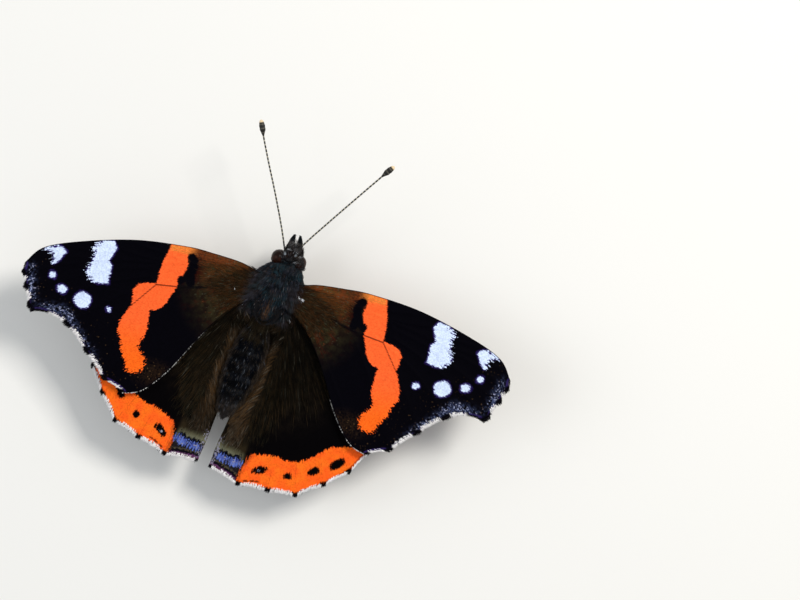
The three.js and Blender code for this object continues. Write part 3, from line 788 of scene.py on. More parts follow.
def marginLine(shape, count=600):
    # a tooth at each vein's end with a scallop between each pair
    pieces = []
    for a, b, depth in zip(shape["teeth"], shape["teeth"][1:], shape["scallops"]):
        a, b = np.array(a), np.array(b)
        along = b - a
        inward = np.array((along[1], -along[0])) / np.linalg.norm(along)
        t = np.linspace(0, 1, 40, endpoint=False)[:, None]
        pieces.append(a + along * t + inward * depth * (1 - np.abs(2 * t - 1) ** 3))
    return evenly(np.vstack((*pieces, shape["teeth"][-1:])), count)


def planOf(shape, u, v):
    # spans a wing between its four sides: u from root to outer margin, v from front to back
    front, back = smoothLine(shape["costa"], 600), smoothLine(shape["hind"], 600)
    inner, outer = evenly(np.array(shape["root"], float), 50), marginLine(shape)
    rowLength = np.linalg.norm(placeOn(outer, v) - placeOn(inner, v), axis=1)
    u = (u * (1 - shape["fringe"] / rowLength))[:, None]
    s, t = u[:, 0], v
    v = v[:, None]
    spanned = (1 - v) * placeOn(front, s) + v * placeOn(back, s)
    spanned += (1 - u) * placeOn(inner, t) + u * placeOn(outer, t)
    corners = (1 - u) * (1 - v) * inner[0] + u * (1 - v) * outer[0]
    corners += (1 - u) * v * inner[-1] + u * v * outer[-1]
    return spanned - corners


def veinDistance(shape, places):
    lines = [smoothLine(vein, 40) for vein in shape["veins"].values()]
    return np.min([distanceTo(line, places) for line in lines], 0)


def makeWing(kind, shape, name, materials):
    bm = bmesh.new()
    bm.loops.layers.uv.new("vane")
    across, down = shape["cells"]
    bmesh.ops.create_grid(bm, x_segments=across, y_segments=down, size=0.5, calc_uvs=True)
    square = cornersOf(bm)[:, :2] + 0.5
    local = planOf(shape, square[:, 0], 1 - square[:, 1])
    plan = fromHinge(kind, local, name)
    moveTo(bm, onWing(kind, plan, wings["thickness"] / 2)[0])
    if sides[name] < 0:
        bmesh.ops.reverse_faces(bm, faces=bm.faces)
    bmesh.ops.solidify(bm, geom=bm.faces[:], thickness=wings["thickness"])
    # veins stand out on both faces, and the membrane sags a little between them
    places = cornersOf(bm)
    local = toHinge(kind, places, name)
    upper = np.where(np.arange(len(places)) < len(square), 1.0, -1.0)
    veins = veinDistance(shape, local)
    outline = wingOutline(shape)
    edge = np.maximum(depthIn(outline, local), 0)
    shown = rampUp(edge, 0.1, 1.2)
    ridge = wings["veinRise"] * np.exp(-((veins / wings["veinWidth"]) ** 2)) * (0.35 + 0.65 * shown)
    sag = wings["pleat"] * rampUp(veins, 0.1, 1.6) * shown
    normals = onWing(kind, places[:, :2])[1]
    moveTo(bm, toFrame(places + normals * (upper * ridge - sag)[:, None]))
    bm.normal_update()
    for face in bm.faces:
        face.material_index = 0 if face.normal.z > -0.2 else 1
    piece = addPiece(f"{kind}_{name}_vane", bm, materials, [f"{kind}_{name}"])
    out, forward = fromHinge(kind, local, "right").T
    root = (1 - rampUp(out, 2.4, 4.0)) * rampUp(forward, -7, -4.5)
    paint(piece, vein=veins, edge=edge, rim=distanceTo(marginLine(shape, 200), local), root=root)
    return piece, local


def wingOutline(shape):
    front, back = smoothLine(shape["costa"], 120), smoothLine(shape["hind"], 120)
    return np.vstack((front, marginLine(shape, 200), back[::-1]))


def toothGap(shape, local):
    # distance to the nearest tooth of the margin, leaving out its two ends
    teeth = np.array(shape["teeth"][1:-1], float)
    return np.linalg.norm(local[:, None] - teeth[None], axis=2).min(1)


# Markings of the forewing, from its hinge

forewingMarks = {
    "band": [(10.9, 1.7), (13.5, 1.7), (13.8, 0.1), (14.25, -1.4), (14.35, -3.2), (14.4, -4.5),
             (15.5, -4.6), (16.7, -5), (17.4, -5.95), (17.25, -7), (17.1, -8.1), (17.7, -9.3),
             (18.2, -10.7), (18.3, -12), (17.6, -13.2), (17.35, -14.6), (16.6, -15.6), (16, -16.9),
             (15.3, -17.45), (14.3, -17.25), (13.75, -16.7), (13.6, -15.9), (13.9, -15.0),
             (14.65, -14.1), (14.95, -13.5), (14.4, -11.8), (14.3, -10.2), (14.45, -8.35),
             (13.15, -7.75), (12.35, -6.7), (12.25, -6.05), (11.6, -4.5), (11.5, -3.4), (10.9, -2.3),
             (10.75, -1.1), (11, 0.3)],
    "bar": [(21.5, 0.15), (20.75, -0.9), (21.1, -2), (21.5, -2.75), (20.9, -3.5), (20.9, -4.5),
            (21, -5.3), (20.8, -6.1), (22.2, -6.3), (23.1, -6.3), (23.8, -5.8), (24.4, -4.75),
            (23.85, -3.5), (23.7, -2.2), (24.1, -1.5), (23.4, -0.45)],
    "apex": [(27.5, -2.9), (28.2, -2.4), (29, -2.3), (30.9, -3.2), (30.2, -3.35), (29.35, -3.7),
             (29.2, -5.05), (28.9, -5.1), (28.1, -4.2)],
    "spots": [(23.95, -9.05, 1.22, 1.17, 25), (27.1, -8.2, 0.8, 0.62, 20), (28.8, -6.55, 0.52, 0.58, 0)],
    "lastSpot": {"right": [(20.2, -9.45, 0.55, 0.48, 15)], "left": [(20.1, -9.5, 0.38, 0.38, 0)]},
    "blot": [(10.3, 0.25), (9.95, -0.2), (9.85, -1.0), (10.0, -2.2), (9.8, -3.3)],
    "blotWidth": 0.6,
    "smallBlot": [(11.2, -3.2, 0.5, 0.55, 0), (10.5, -2.6, 0.5, 0.8, 0)],
    "lined": ["cubitus", "cubital1"],      # veins that show dark
    "dust": [(32, -6.2), (31.3, -9.2), (30, -11.2), (28, -11.2), (26, -11.3), (24.3, -13.2),
             (22.4, -15), (20, -17.2)],
    "dustWeight": [0.30, 0.62, 0.12, 0.62, 0.72, 0.66, 0.42, 0.08],
    "glow": {"right": 1.0, "left": 0.5},    # of the rust between the veins at the base
    "olive": {"right": 0.75, "left": 0.1},  # how far it gives way at the front edge
    "ember": (9.3, -1.7, 0.95, 1.5),        # the dark red before the band: x, y and its reach
}


def markForewing(piece, local, name):
    marks = forewingMarks
    x, y = local.T
    brown = 1 - rampUp(np.hypot(x, y + 0.4), 4.4, 13.2)
    cubitus = np.array(forewing["veins"]["cubitus"])
    ahead = y - np.interp(x, cubitus[:, 0], cubitus[:, 1])
    cell = rampUp(ahead, 0.1, 1.2) * rampUp(x, 1.6, 3.4) * (1 - rampUp(x, 8.0, 9.4))
    cell = cell * marks["glow"][name]
    dusk = 1 - rampUp(np.hypot((x - 12) / 4.4, (y + 17) / 2.7), 0.1, 1.0)
    frayed = np.where(x < 26.5, rampUp(x + 0.1 * y, 21.9, 23.0) * rampUp(y, -7.2, -6.4),
                      rampUp(x, 28.6, 29.4) * rampUp(y, -5.8, -5.2))
    costal = rampUp(y, -0.9, 0.5)
    rust = rampUp(x, 0.3, 2.5) * (1 - rampUp(x, 10.6, 11.4)) * costal
    rust = rust * (1 - marks["olive"][name] * rampUp(y, 0.45, 0.85) * (1 - rampUp(x, 8, 9.5)))
    rust = np.maximum(rust, np.exp(-(((x - 9.6) / 1.1) ** 2) - ((y - 0.2) / 0.5) ** 2))
    emberX, emberY, wide, high = marks["ember"]
    ember = np.exp(-(((x - emberX) / wide) ** 2) - ((y - emberY) / high) ** 2)
    white = np.maximum(depthIn(np.array(marks["bar"]), local), depthIn(np.array(marks["apex"]), local))
    white = np.maximum(white, depthInSpots(marks["spots"] + marks["lastSpot"][name], local))
    blot = marks["blotWidth"] - distanceTo(marks["blot"], local)
    blot = np.maximum(blot, depthInSpots(marks["smallBlot"], local))
    ridge = smoothLine(marks["dust"], 60)
    gaps = np.linalg.norm(local[:, None, :] - ridge[None, :, :], axis=2)
    nearest = gaps.argmin(1)
    weights = np.interp(np.linspace(0, 1, 60), np.linspace(0, 1, len(marks["dust"])), marks["dustWeight"])
    dust = weights[nearest] * np.exp(-((gaps.min(1) / 0.68) ** 2))
    pink = rampUp(y, 0.25, 0.75) * rampUp(x, 9.4, 11.2) * (1 - rampUp(x, 13.3, 13.8))
    line = np.min([distanceTo(smoothLine(forewing["veins"][key], 40), local) for key in marks["lined"]], 0)
    paint(piece, band=depthIn(np.array(marks["band"]), local), white=white, blot=blot, dust=dust,
          brown=brown, cell=cell, dusk=dusk, frayed=frayed, rust=rust, ember=ember, pink=pink,
          yellow=rampUp(-y, 9, 16), line=line, tooth=toothGap(forewing, local))


forewingColours = {
    "black": (0.0013, 0.0011, 0.0024), "olive": (0.040, 0.031, 0.012), "umber": (0.019, 0.010, 0.005),
    "ember": (0.075, 0.016, 0.005), "rust": (0.125, 0.030, 0.008), "gold": (0.085, 0.052, 0.013),
    "moss": (0.10, 0.11, 0.07), "tawny": (0.30, 0.17, 0.07), "red": (0.93, 0.120, 0.026),
    "orange": (0.92, 0.125, 0.010), "tan": (0.70, 0.20, 0.035), "white": (0.60, 0.70, 0.92),
    "violet": (0.035, 0.019, 0.15), "rim": (0.026, 0.016, 0.090), "glaze": (0.085, 0.110, 0.24),
    "dust": (0.34, 0.38, 0.58), "veinLine": (0.060, 0.010, 0.004), "garnet": (0.018, 0.002, 0.0015),
    # on the underside
    "baseBelow": (0.10, 0.028, 0.018), "bandBelow": (0.82, 0.13, 0.05), "tipBelow": (0.10, 0.068, 0.042),
    "dustBelow": (0.30, 0.26, 0.24), "whiteBelow": (0.78, 0.76, 0.74), "blueBelow": (0.10, 0.22, 0.60),
    "veinBelow": (0.07, 0.04, 0.025),
}


def forewingUpper():
    c = forewingColours
    surface = ScaledSurface("forewing above", c["black"], forewing["rows"])
    tree = surface.tree
    tone = surface.scales["Tone"]
    brown = painted(tree, "brown")
    fine = surface.streaks(8, 75)
    ground = blend(tree, surface.noise(0.9), c["umber"], c["olive"])
    ground = blend(tree, times(tree, surface.noise(1.6, 0.5, 0.66, 2), fine), ground, c["ember"])
    glow = blend(tree, surface.noise(1.0), blend(tree, fine, c["umber"], c["gold"]), c["rust"])
    ground = blend(tree, painted(tree, "cell"), ground, glow)
    surface.colour = blend(tree, brown, c["black"], ground)
    rust = times(tree, painted(tree, "rust"), fade(tree, tone, 0.1, 0.6, 0.4, 1))
    surface.lay(times(tree, rust, surface.streaks(5, 90, 0.3, 0.6)), c["rust"])
    surface.lay(times(tree, painted(tree, "ember"), surface.streaks(6, 60, 0.2, 0.6)), c["garnet"])
    surface.dust(times(tree, brown, 0.11), c["moss"], 0.7)
    surface.dust(minus(tree, times(tree, brown, 0.2), surface.noise(1.3)), c["rust"])
    line = fade(tree, painted(tree, "line"), 0.09, 0.28, 1, 0)
    surface.lay(times(tree, line, fade(tree, brown, 0, 0.25)), c["black"], 0.8)
    surface.lay(times(tree, painted(tree, "dusk"), fade(tree, tone, 0.1, 0.7)), c["umber"], 0.65)
    surface.dust(times(tree, painted(tree, "dusk"), 0.06), c["tawny"], 0.6)
    red = blend(tree, painted(tree, "yellow"), c["red"], c["orange"])
    ragged = calc(tree, "MULTIPLY_ADD", painted(tree, "yellow"), 0.32, 0.14)
    band = surface.mask("band", ragged, 0.08)
    surface.lay(band, red)
    pink = times(tree, painted(tree, "pink"), surface.streaks(6, 110, 0.25, 0.55))
    surface.lay(pink, c["tan"])
    line = fade(tree, painted(tree, "line"), 0.06, 0.15, 1, 0)
    surface.lay(times(tree, line, band), c["veinLine"], 0.8)
    surface.lay(surface.mask("blot", 0.14, 0.07), c["black"])
    white = minus(tree, painted(tree, "white"), 0.1)
    halo = surface.mask(plus(tree, white, 0.16), 0.1, 0.14)
    surface.lay(halo, c["violet"], 0.85)
    frayed = calc(tree, "MULTIPLY_ADD", painted(tree, "frayed"), 0.42, 0.15)
    surface.lay(surface.mask(white, frayed, 0.07), c["white"])
    # the blue-grey bloom along the margin: a streaked glaze with single pale scales on it
    dust = times(tree, painted(tree, "dust"),
                fade(tree, surface.scales["Streak"], -0.5, 0.6, 0.2, 1.3))
    broken = times(tree, surface.noise(0.45, 0.4, 0.58), 0.75)
    surface.lay(times(tree, dust, broken, clamp=True), c["glaze"])
    surface.dust(times(tree, dust, 0.5), c["dust"], 0.85)
    rim = painted(tree, "rim")
    surface.dust(times(tree, fade(tree, rim, 7, 0.5), 0.035), c["tawny"], 0.7)
    surface.lay(fade(tree, rim, 0.48, 0.62, 1, 0), c["rim"], 0.85)
    surface.lay(surface.mask(minus(tree, 0.85, painted(tree, "tooth")), 0.15, 0.12), c["black"])
    surface.lay(fade(tree, painted(tree, "edge"), 0.04, 0.16, 1, 0), c["black"], 0.85)
    return surface.close()


def forewingUnder():
    c = forewingColours
    surface = ScaledSurface("forewing below", c["black"], forewing["rows"])
    tree = surface.tree
    surface.lay(painted(tree, "brown"), c["baseBelow"], 0.8)
    surface.lay(surface.mask("band", 0.2, 0.1), c["bandBelow"])
    surface.lay(surface.mask("blot", 0.14, 0.07), c["black"])
    apex = fade(tree, painted(tree, "rim"), 7.5, 2.0)
    surface.lay(times(tree, apex, surface.noise(1.3)), c["tipBelow"], 0.9)
    surface.dust(times(tree, apex, 0.2), c["dustBelow"])
    surface.lay(surface.mask("white", 0.12, 0.08), c["whiteBelow"])
    surface.dust(times(tree, painted(tree, "pink"), 0.7), c["blueBelow"])
    surface.lay(fade(tree, painted(tree, "vein"), 0.05, 0.2, 1, 0), c["veinBelow"], 0.6)
    return surface.close()


# Markings of the hindwing, from the body's axes

hindwingMarks = {
    "band": [(23, -14), (20.4, -14.2), (17.7, -15.05), (15.8, -16), (15, -16.9), (13.9, -18.3),
             (12.7, -19.4), (11.4, -20), (10.2, -20.15), (9.15, -20.1), (7.5, -20.5), (5.9, -21.1),
             (5.55, -22.2), (5.2, -23.4), (5.1, -27), (14, -28), (24, -20)],
    "spots": [(17.6, -17.8, 1.25, 0.6, 52), (14.95, -20, 0.85, 0.54, 48), (11.8, -22.1, 0.58, 0.5, 22),
              (7.8, -22.85, 1.08, 0.54, 34)],
    "cores": [(7.7, -23.0, 0.24, 0.13, 20)],
    "nudge": {"right": (0, 0), "left": (0.42, 0.1)},     # of the spots, towards the body
    "streak": [(6.2, -25.2), (7.3, -24.75), (8.3, -24.45)],
    # the blue of the inner corner in two lobes, and the black over them
    "blue": [(4.15, -23.15, 0.95, 0.6, 10), (2.2, -23.3, 0.88, 0.48, 0)],
    "cap": [(4.2, -22.75, 0.85, 0.75, 10), (2.3, -22.9, 0.95, 0.65, 0), (3.3, -22.8, 0.5, 0.5, 0)],
    "tornus": (1.0, 5.05),
}

# bands of the hindwing's inner corner, by the distance in from the margin in mm
tornusBands = [
    (0.0, (0.05, 0.014, 0.05)), (0.56, (0.10, 0.028, 0.09)), (0.76, (0.12, 0.04, 0.12)),
    (0.86, (0.004, 0.003, 0.006)), (1.2, (0.004, 0.003, 0.006)), (1.3, (0.07, 0.055, 0.03)),
    (1.4, (0.05, 0.045, 0.035)), (1.5, (0.010, 0.008, 0.010)), (2.6, (0.020, 0.016, 0.012)),
    (3.25, (0.13, 0.13, 0.085)), (3.7, (0.09, 0.085, 0.05)), (4.5, (0.02, 0.014, 0.007)),
]


def markHindwing(piece, local, name):
    marks = hindwingMarks
    x, y = local.T
    spotted = local + marks["nudge"][name]
    fromRoot = np.hypot(x - 1.5, y - 1)
    brown = 1 - rampUp(fromRoot, 12, 21)
    brown = np.maximum(brown * (1 - 0.75 * rampUp(x, 9, 15)), 0.85 * (1 - rampUp(x, 3.4, 6.5)))
    low, high = marks["tornus"]
    tornus = (1 - rampUp(x, high - 0.3, high + 0.2)) * rampUp(-y, 19.5, 21)
    inner = (1 - rampUp(x, low + 0.1, low + 0.9)) * rampUp(-y, 19.5, 21.5)
    band = depthIn(np.array(marks["band"]), local)
    radial = (1 - rampUp(band, 0.1, 0.8)) * (1 - rampUp(x, 5.6, 6.8)) * rampUp(-y, 20, 21.5)
    streak = 0.12 - distanceTo(smoothLine(marks["streak"], 20), local)
    paint(piece, band=band, brown=brown, tornus=tornus, inner=inner, radial=radial, streak=streak,
          spot=depthInSpots(marks["spots"], spotted), core=depthInSpots(marks["cores"], spotted),
          blue=depthInSpots(marks["blue"], local), cap=depthInSpots(marks["cap"], local),
          tooth=toothGap(hindwing, local))


hindwingColours = {
    "black": (0.0013, 0.0010, 0.0013), "brown": (0.013, 0.009, 0.0055),
    "deepBrown": (0.004, 0.0028, 0.002), "red": (0.93, 0.110, 0.012), "orange": (0.93, 0.150, 0.012),
    "blue": (0.095, 0.15, 0.46), "deepBlue": (0.020, 0.025, 0.16), "cap": (0.0015, 0.0015, 0.004),
    "lavender": (0.27, 0.26, 0.34), "veinLine": (0.42, 0.050, 0.008), "rust": (0.22, 0.040, 0.008),
    "rim": (0.10, 0.016, 0.012),
}


def hindwingUpper():
    c = hindwingColours
    surface = ScaledSurface("hindwing above", c["black"], hindwing["rows"])
    tree = surface.tree
    tone = surface.scales["Tone"]
    ground = blend(tree, surface.noise(1.1), c["deepBrown"], c["brown"])
    surface.colour = blend(tree, painted(tree, "brown"), c["black"], ground)
    streaked = times(tree, surface.streaks(3, 170, 0.4, 0.75), 0.22)
    band = surface.mask(minus(tree, painted(tree, "band"), streaked), 0.2, 0.08)
    surface.lay(band, blend(tree, surface.noise(1.6), c["red"], c["orange"]))
    line = fade(tree, painted(tree, "vein"), 0.03, 0.12, 1, 0)
    surface.lay(times(tree, line, band), c["veinLine"], 0.4)
    rust = times(tree, painted(tree, "radial"), fade(tree, surface.scales["Streak"], -0.7, 0.4))
    surface.lay(times(tree, rust, band), c["rust"], 0.85)
    surface.lay(surface.mask("spot", 0.16, 0.07), c["black"])
    surface.lay(surface.mask("core", 0.1, 0.06), c["lavender"])
    surface.lay(surface.mask("streak", 0.1, 0.06), c["black"], 0.85)
    ramp = addNode(tree, "ShaderNodeValToRGB")
    widest = tornusBands[-1][0]
    swing = times(tree, surface.scales["Streak"], 0.14)
    grain = times(tree, minus(tree, tone, 0.5), 0.26)
    depth = plus(tree, plus(tree, painted(tree, "rim"), swing), grain)
    plug(tree, ramp.inputs[0], calc(tree, "DIVIDE", depth, widest))
    stops = ramp.color_ramp.elements
    for i, (place, colour) in enumerate(tornusBands):
        stop = stops[i] if i < 2 else stops.new(1.0)
        stop.position = place / widest
        stop.color = (*colour, 1)
    tornus = painted(tree, "tornus")
    surface.lay(tornus, ramp.outputs[0])
    surface.lay(times(tree, surface.mask("cap", 0.34, 0.1), tornus), c["cap"])
    lobe = blend(tree, fade(tree, surface.scales["Streak"], -0.7, 0.6), c["deepBlue"], c["blue"])
    surface.lay(surface.mask("blue", 0.34, 0.1), lobe)
    surface.dust(times(tree, surface.mask("blue", 0.2, 0.1), 0.2), c["lavender"])
    surface.dust(times(tree, painted(tree, "inner"), 0.42), c["lavender"], 0.8)
    surface.lay(fade(tree, painted(tree, "rim"), 0.46, 0.62, 1, 0), c["rim"], 0.6)
    surface.lay(surface.mask(minus(tree, 0.8, painted(tree, "tooth")), 0.22, 0.12), c["black"])
    return surface.close()


underColours = {
    "ground": (0.045, 0.030, 0.022), "deep": (0.008, 0.006, 0.006), "light": (0.20, 0.16, 0.13),
    "blue": (0.07, 0.10, 0.16), "rose": (0.16, 0.06, 0.055), "vein": (0.09, 0.06, 0.045),
}


def hindwingUnder():
    # mottled like bark: dark patches with pale edges, a blue-grey band and dull eyes near the margin
    c = underColours
    surface = ScaledSurface("hindwing below", c["ground"], hindwing["rows"])
    tree = surface.tree
    patches = surface.noise(1.7, 0.44, 0.54, 4)
    surface.lay(patches, c["deep"], 0.85)
    surface.lay(surface.noise(3.1, 0.5, 0.62, 2), c["rose"], 0.35)
    surface.dust(times(tree, surface.noise(0.8, 0.45, 0.6), 0.35), c["light"])
    rim = painted(tree, "rim")
    ring = calc(tree, "ABSOLUTE", minus(tree, rim, 3.0))
    blue = times(tree, surface.mask(minus(tree, 0.75, ring), 0.4, 0.5),
                fade(tree, painted(tree, "vein"), 0.3, 1.1))
    surface.lay(blue, c["blue"], 0.6)
    edge = calc(tree, "ABSOLUTE", minus(tree, rim, 1.35))
    surface.dust(fade(tree, edge, 0.1, 0.6, 0.5, 0), c["light"])
    surface.lay(surface.mask("spot", 0.2, 0.2), c["deep"], 0.9)
    surface.lay(surface.mask("core", 0.1, 0.1), c["blue"])
    surface.lay(fade(tree, painted(tree, "vein"), 0.06, 0.22, 1, 0), c["vein"], 0.7)
    return surface.close()


wingMaterials = {
    "forewing": [forewingUpper(), forewingUnder()],
    "hindwing": [hindwingUpper(), hindwingUnder()],
}
vanes = {}
for wingName in sides:
    for kindName, wingShape, marker in (("forewing", forewing, markForewing),
                                        ("hindwing", hindwing, markHindwing)):
        vane, localPlaces = makeWing(kindName, wingShape, wingName, wingMaterials[kindName])
        marker(vane, localPlaces, wingName)
        vanes[kindName, wingName] = vane
    print("wings on the", wingName, "are shaped and marked")


# Limbs: straight lathed forms bent along a path

def makeLimb(name, path, line, materials, nodes=(), around=16):
    # line gives (share of the path, radius in mm); the form is wrapped round the smooth path
    curve = smoothLine(path, 300)
    tangents = unit(np.gradient(curve, axis=0))
    frames = []
    across = unit(np.cross(tangents[0], (0.13, 0.31, 0.94)))
    for tangent in tangents:
        across = unit(across - tangent * (across @ tangent))
        frames.append(across)
    frames = np.array(frames)
    bm = lathe(line, around)
    places = cornersOf(bm)
    share = np.clip(places[:, 1], 0, 1)
    middle = placeOn(curve, share)
    along, side = unit(placeOn(tangents, share)), unit(placeOn(frames, share))
    over = np.cross(along, side)
    beyond = along * (places[:, 1] - share)[:, None]
    moveTo(bm, toFrame(middle + beyond + side * places[:, :1] + over * places[:, 2:]))
    bmesh.ops.recalc_face_normals(bm, faces=bm.faces)
    piece = addPiece(name, bm, materials, nodes)
    paint(piece, share=share)
    return piece


def rounded(radii, steps, bulges=0, bulge=0.0):
    # a tapered line with rounded ends, and a swelling at each of its segments
    shares = np.linspace(0, 1, steps)
    radius = np.interp(shares, np.linspace(0, 1, len(radii)), radii)
    if bulges:
        radius = radius * (1 + bulge * np.abs(np.sin(math.pi * bulges * shares)))
    lines = list(zip(shares, radius))
    return [(-0.01, 0), (-0.004, radii[0] * 0.7), *lines, (1.004, radii[-1] * 0.7), (1.01, 0)]


antenna = {
    # from the neck, and a little different on the two sides
    "path": {
        "right": [(0.5, 2.1, 8.0), (1.25, 4.05, 8.6), (4, 8.4, 9.8), (6.8, 12.7, 10.7),
                  (8.9, 15.9, 11.3), (9.6, 16.95, 11.45), (10.35, 18, 11.5), (10.47, 18.17, 11.5)],
        "left": [(-0.82, 1.95, 8.1), (-2.25, 5.24, 8.9), (-4.45, 9.66, 10), (-6.6, 13.69, 10.8),
                 (-8.2, 16.78, 11.3), (-8.7, 17.91, 11.45), (-9.2, 18.95, 11.5), (-9.28, 19.13, 11.5)],
    },
    "radius": 0.11,
    "clubRadius": 0.4,
    "clubFrom": 0.875,               # share of the length where the club starts to swell
    "joints": 34,
    "around": 14,
    "colours": {"black": (0.008, 0.007, 0.006), "ring": (0.46, 0.43, 0.33), "tip": (0.74, 0.58, 0.36),
                "base": (0.15, 0.17, 0.19)},
}


def antennaMaterial():
    c = antenna["colours"]
    material, tree, shader = newMaterial("antenna")
    share = painted(tree, "share")
    step = calc(tree, "FRACT", times(tree, share, antenna["joints"]))
    ring = times(tree, fade(tree, step, 0.60, 0.70), fade(tree, step, 0.90, 0.99, 1, 0))
    ring = times(tree, ring, fade(tree, share, 0.85, 0.9, 1, 0.12))
    ring = times(tree, ring, fade(tree, share, 0.09, 0.13))
    colour = blend(tree, ring, c["black"], c["ring"])
    colour = blend(tree, fade(tree, share, 0.974, 0.986), colour, c["tip"])
    colour = blend(tree, fade(tree, share, 0.012, 0.035, 1, 0), colour, c["base"])
    plug(tree, shader.inputs["Base Color"], colour)
    noise = noiseOn(tree, objectPlace(tree), 9, 3)
    bumpFrom(tree, shader, noise, 0.4, 0.03)
    plug(tree, shader.inputs["Roughness"], fade(tree, noise, 0.3, 0.7, 0.4, 0.65))
    shader.inputs["Specular IOR Level"].default_value = 0.3
    return material


def makeAntennae():
    material = antennaMaterial()
    for name, path in antenna["path"].items():
        shares = np.linspace(0, 1, 400)
        swell = rampUp(shares, antenna["clubFrom"], 0.935)
        radius = antenna["radius"] + (antenna["clubRadius"] - antenna["radius"]) * swell
        tipRound = np.sqrt(np.clip(1 - ((shares - 0.95) / 0.05).clip(0, 1) ** 2, 0, 1))
        joint = 1 + 0.07 * np.sin(math.pi * ((shares * antenna["joints"]) % 1))
        base = 1 + 0.9 * np.exp(-((shares / 0.02) ** 2))
        line = list(zip(shares, radius * tipRound * joint * base))
        line[0] = (0, 0)
        line[-1] = (1, 0)
        makeLimb(f"antenna_{name}_ringed", onHead(path), line, [material],
                 (f"antenna_{name}", f"antenna_club_{name}"), antenna["around"])


makeAntennae()
print("antennae are ringed")


eye = {
    "centre": {"right": (1.26, 1.44, 6.6), "left": (1.7, 1.42, 6.6)},
    "radii": (1.06, 1.12, 1.32), "facets": 22, "around": 72, "roughness": 0.34, "gloss": 0.1,
    "dark": (0.008, 0.003, 0.002), "glow": (0.036, 0.009, 0.004),
}


def eyeMaterial():
    material, tree, shader = newMaterial("eye")
    place = objectPlace(tree)
    facets = addNode(tree, "ShaderNodeTexVoronoi", {"Vector": place, "Scale": eye["facets"]})
    cloud = fade(tree, noiseOn(tree, place, 1.1, 2), 0.4, 0.62)
    seams = fade(tree, facets.outputs["Distance"], 0.2, 0.6, 0, 0.5)
    colour = blend(tree, seams, blend(tree, cloud, eye["dark"], eye["glow"]), eye["dark"])
    plug(tree, shader.inputs["Base Color"], colour)
    bumpFrom(tree, shader, facets.outputs["Distance"], 0.35, 0.02, invert=True)
    shader.inputs["Roughness"].default_value = eye["roughness"]
    shader.inputs["Specular IOR Level"].default_value = eye["gloss"]
    return material


def makeEyes():
    material = eyeMaterial()
    made = {}
    for name, side in sides.items():
        bm = bmesh.new()
        bmesh.ops.create_uvsphere(bm, u_segments=eye["around"], v_segments=eye["around"] // 2, radius=1)
        places = cornersOf(bm) * eye["radii"] + eye["centre"][name]
        moveTo(bm, toFrame(onHead(places, side)))
        bmesh.ops.recalc_face_normals(bm, faces=bm.faces)
        made[name] = addPiece(f"eye_{name}_facets", bm, [material], [f"eye_{name}"])
    return made


eyes = makeEyes()
print("eyes are set")


palp = {
    "path": [(0.55, 2.3, 5.1), (0.68, 3.3, 5.3), (0.58, 4.2, 5.9), (0.42, 5.05, 6.7)],
    "radii": [0.34, 0.4, 0.34, 0.13],
    "skin": ((0.016, 0.012, 0.012), (0.07, 0.045, 0.035)),
}
proboscis = {
    "turns": 1.6, "outer": 1.0, "inner": 0.24, "centre": (0, 1.7, 3.75), "radius": 0.19,
    "skin": ((0.045, 0.022, 0.012), (0.12, 0.06, 0.03)),
}


def plainMaterial(name, tones, size, roughness):
    # two tones in a fine mottle, with its bump
    material, tree, shader = newMaterial(name)
    noise = noiseOn(tree, objectPlace(tree), 1 / size, 4)
    plug(tree, shader.inputs["Base Color"], blend(tree, fade(tree, noise, 0.38, 0.62), *tones))
    bumpFrom(tree, shader, noise, 0.3, 0.05)
    plug(tree, shader.inputs["Roughness"], fade(tree, noise, 0.3, 0.7, roughness - 0.1, roughness + 0.1))
    shader.inputs["Specular IOR Level"].default_value = 0.3
    return material


def makeMouth():
    palpSkin = plainMaterial("palp skin", palp["skin"], 0.12, 0.6)
    made = {}
    for name, side in sides.items():
        made[name] = makeLimb(f"palp_{name}_skin", onHead(palp["path"], side), rounded(palp["radii"], 40),
                              [palpSkin], [f"palp_{name}"])
    coil = []
    for t in np.linspace(0, 1, 60):
        angle = math.pi / 2 - 2 * math.pi * proboscis["turns"] * t
        radius = proboscis["outer"] + (proboscis["inner"] - proboscis["outer"]) * t
        x, y, z = proboscis["centre"]
        coil.append((x, y + radius * math.cos(angle), z + radius * math.sin(angle)))
    thick = proboscis["radius"]
    tongueSkin = plainMaterial("tongue skin", proboscis["skin"], 0.2, 0.42)
    makeLimb("proboscis_coil", onHead(coil), rounded([thick, thick, thick * 0.6], 160, 60, 0.08),
             [tongueSkin], ["proboscis"], 14)
    return made


palps = makeMouth()
print("palps and proboscis are placed")


# Legs on the body's axes, on the right, by pair: femur, shin and foot

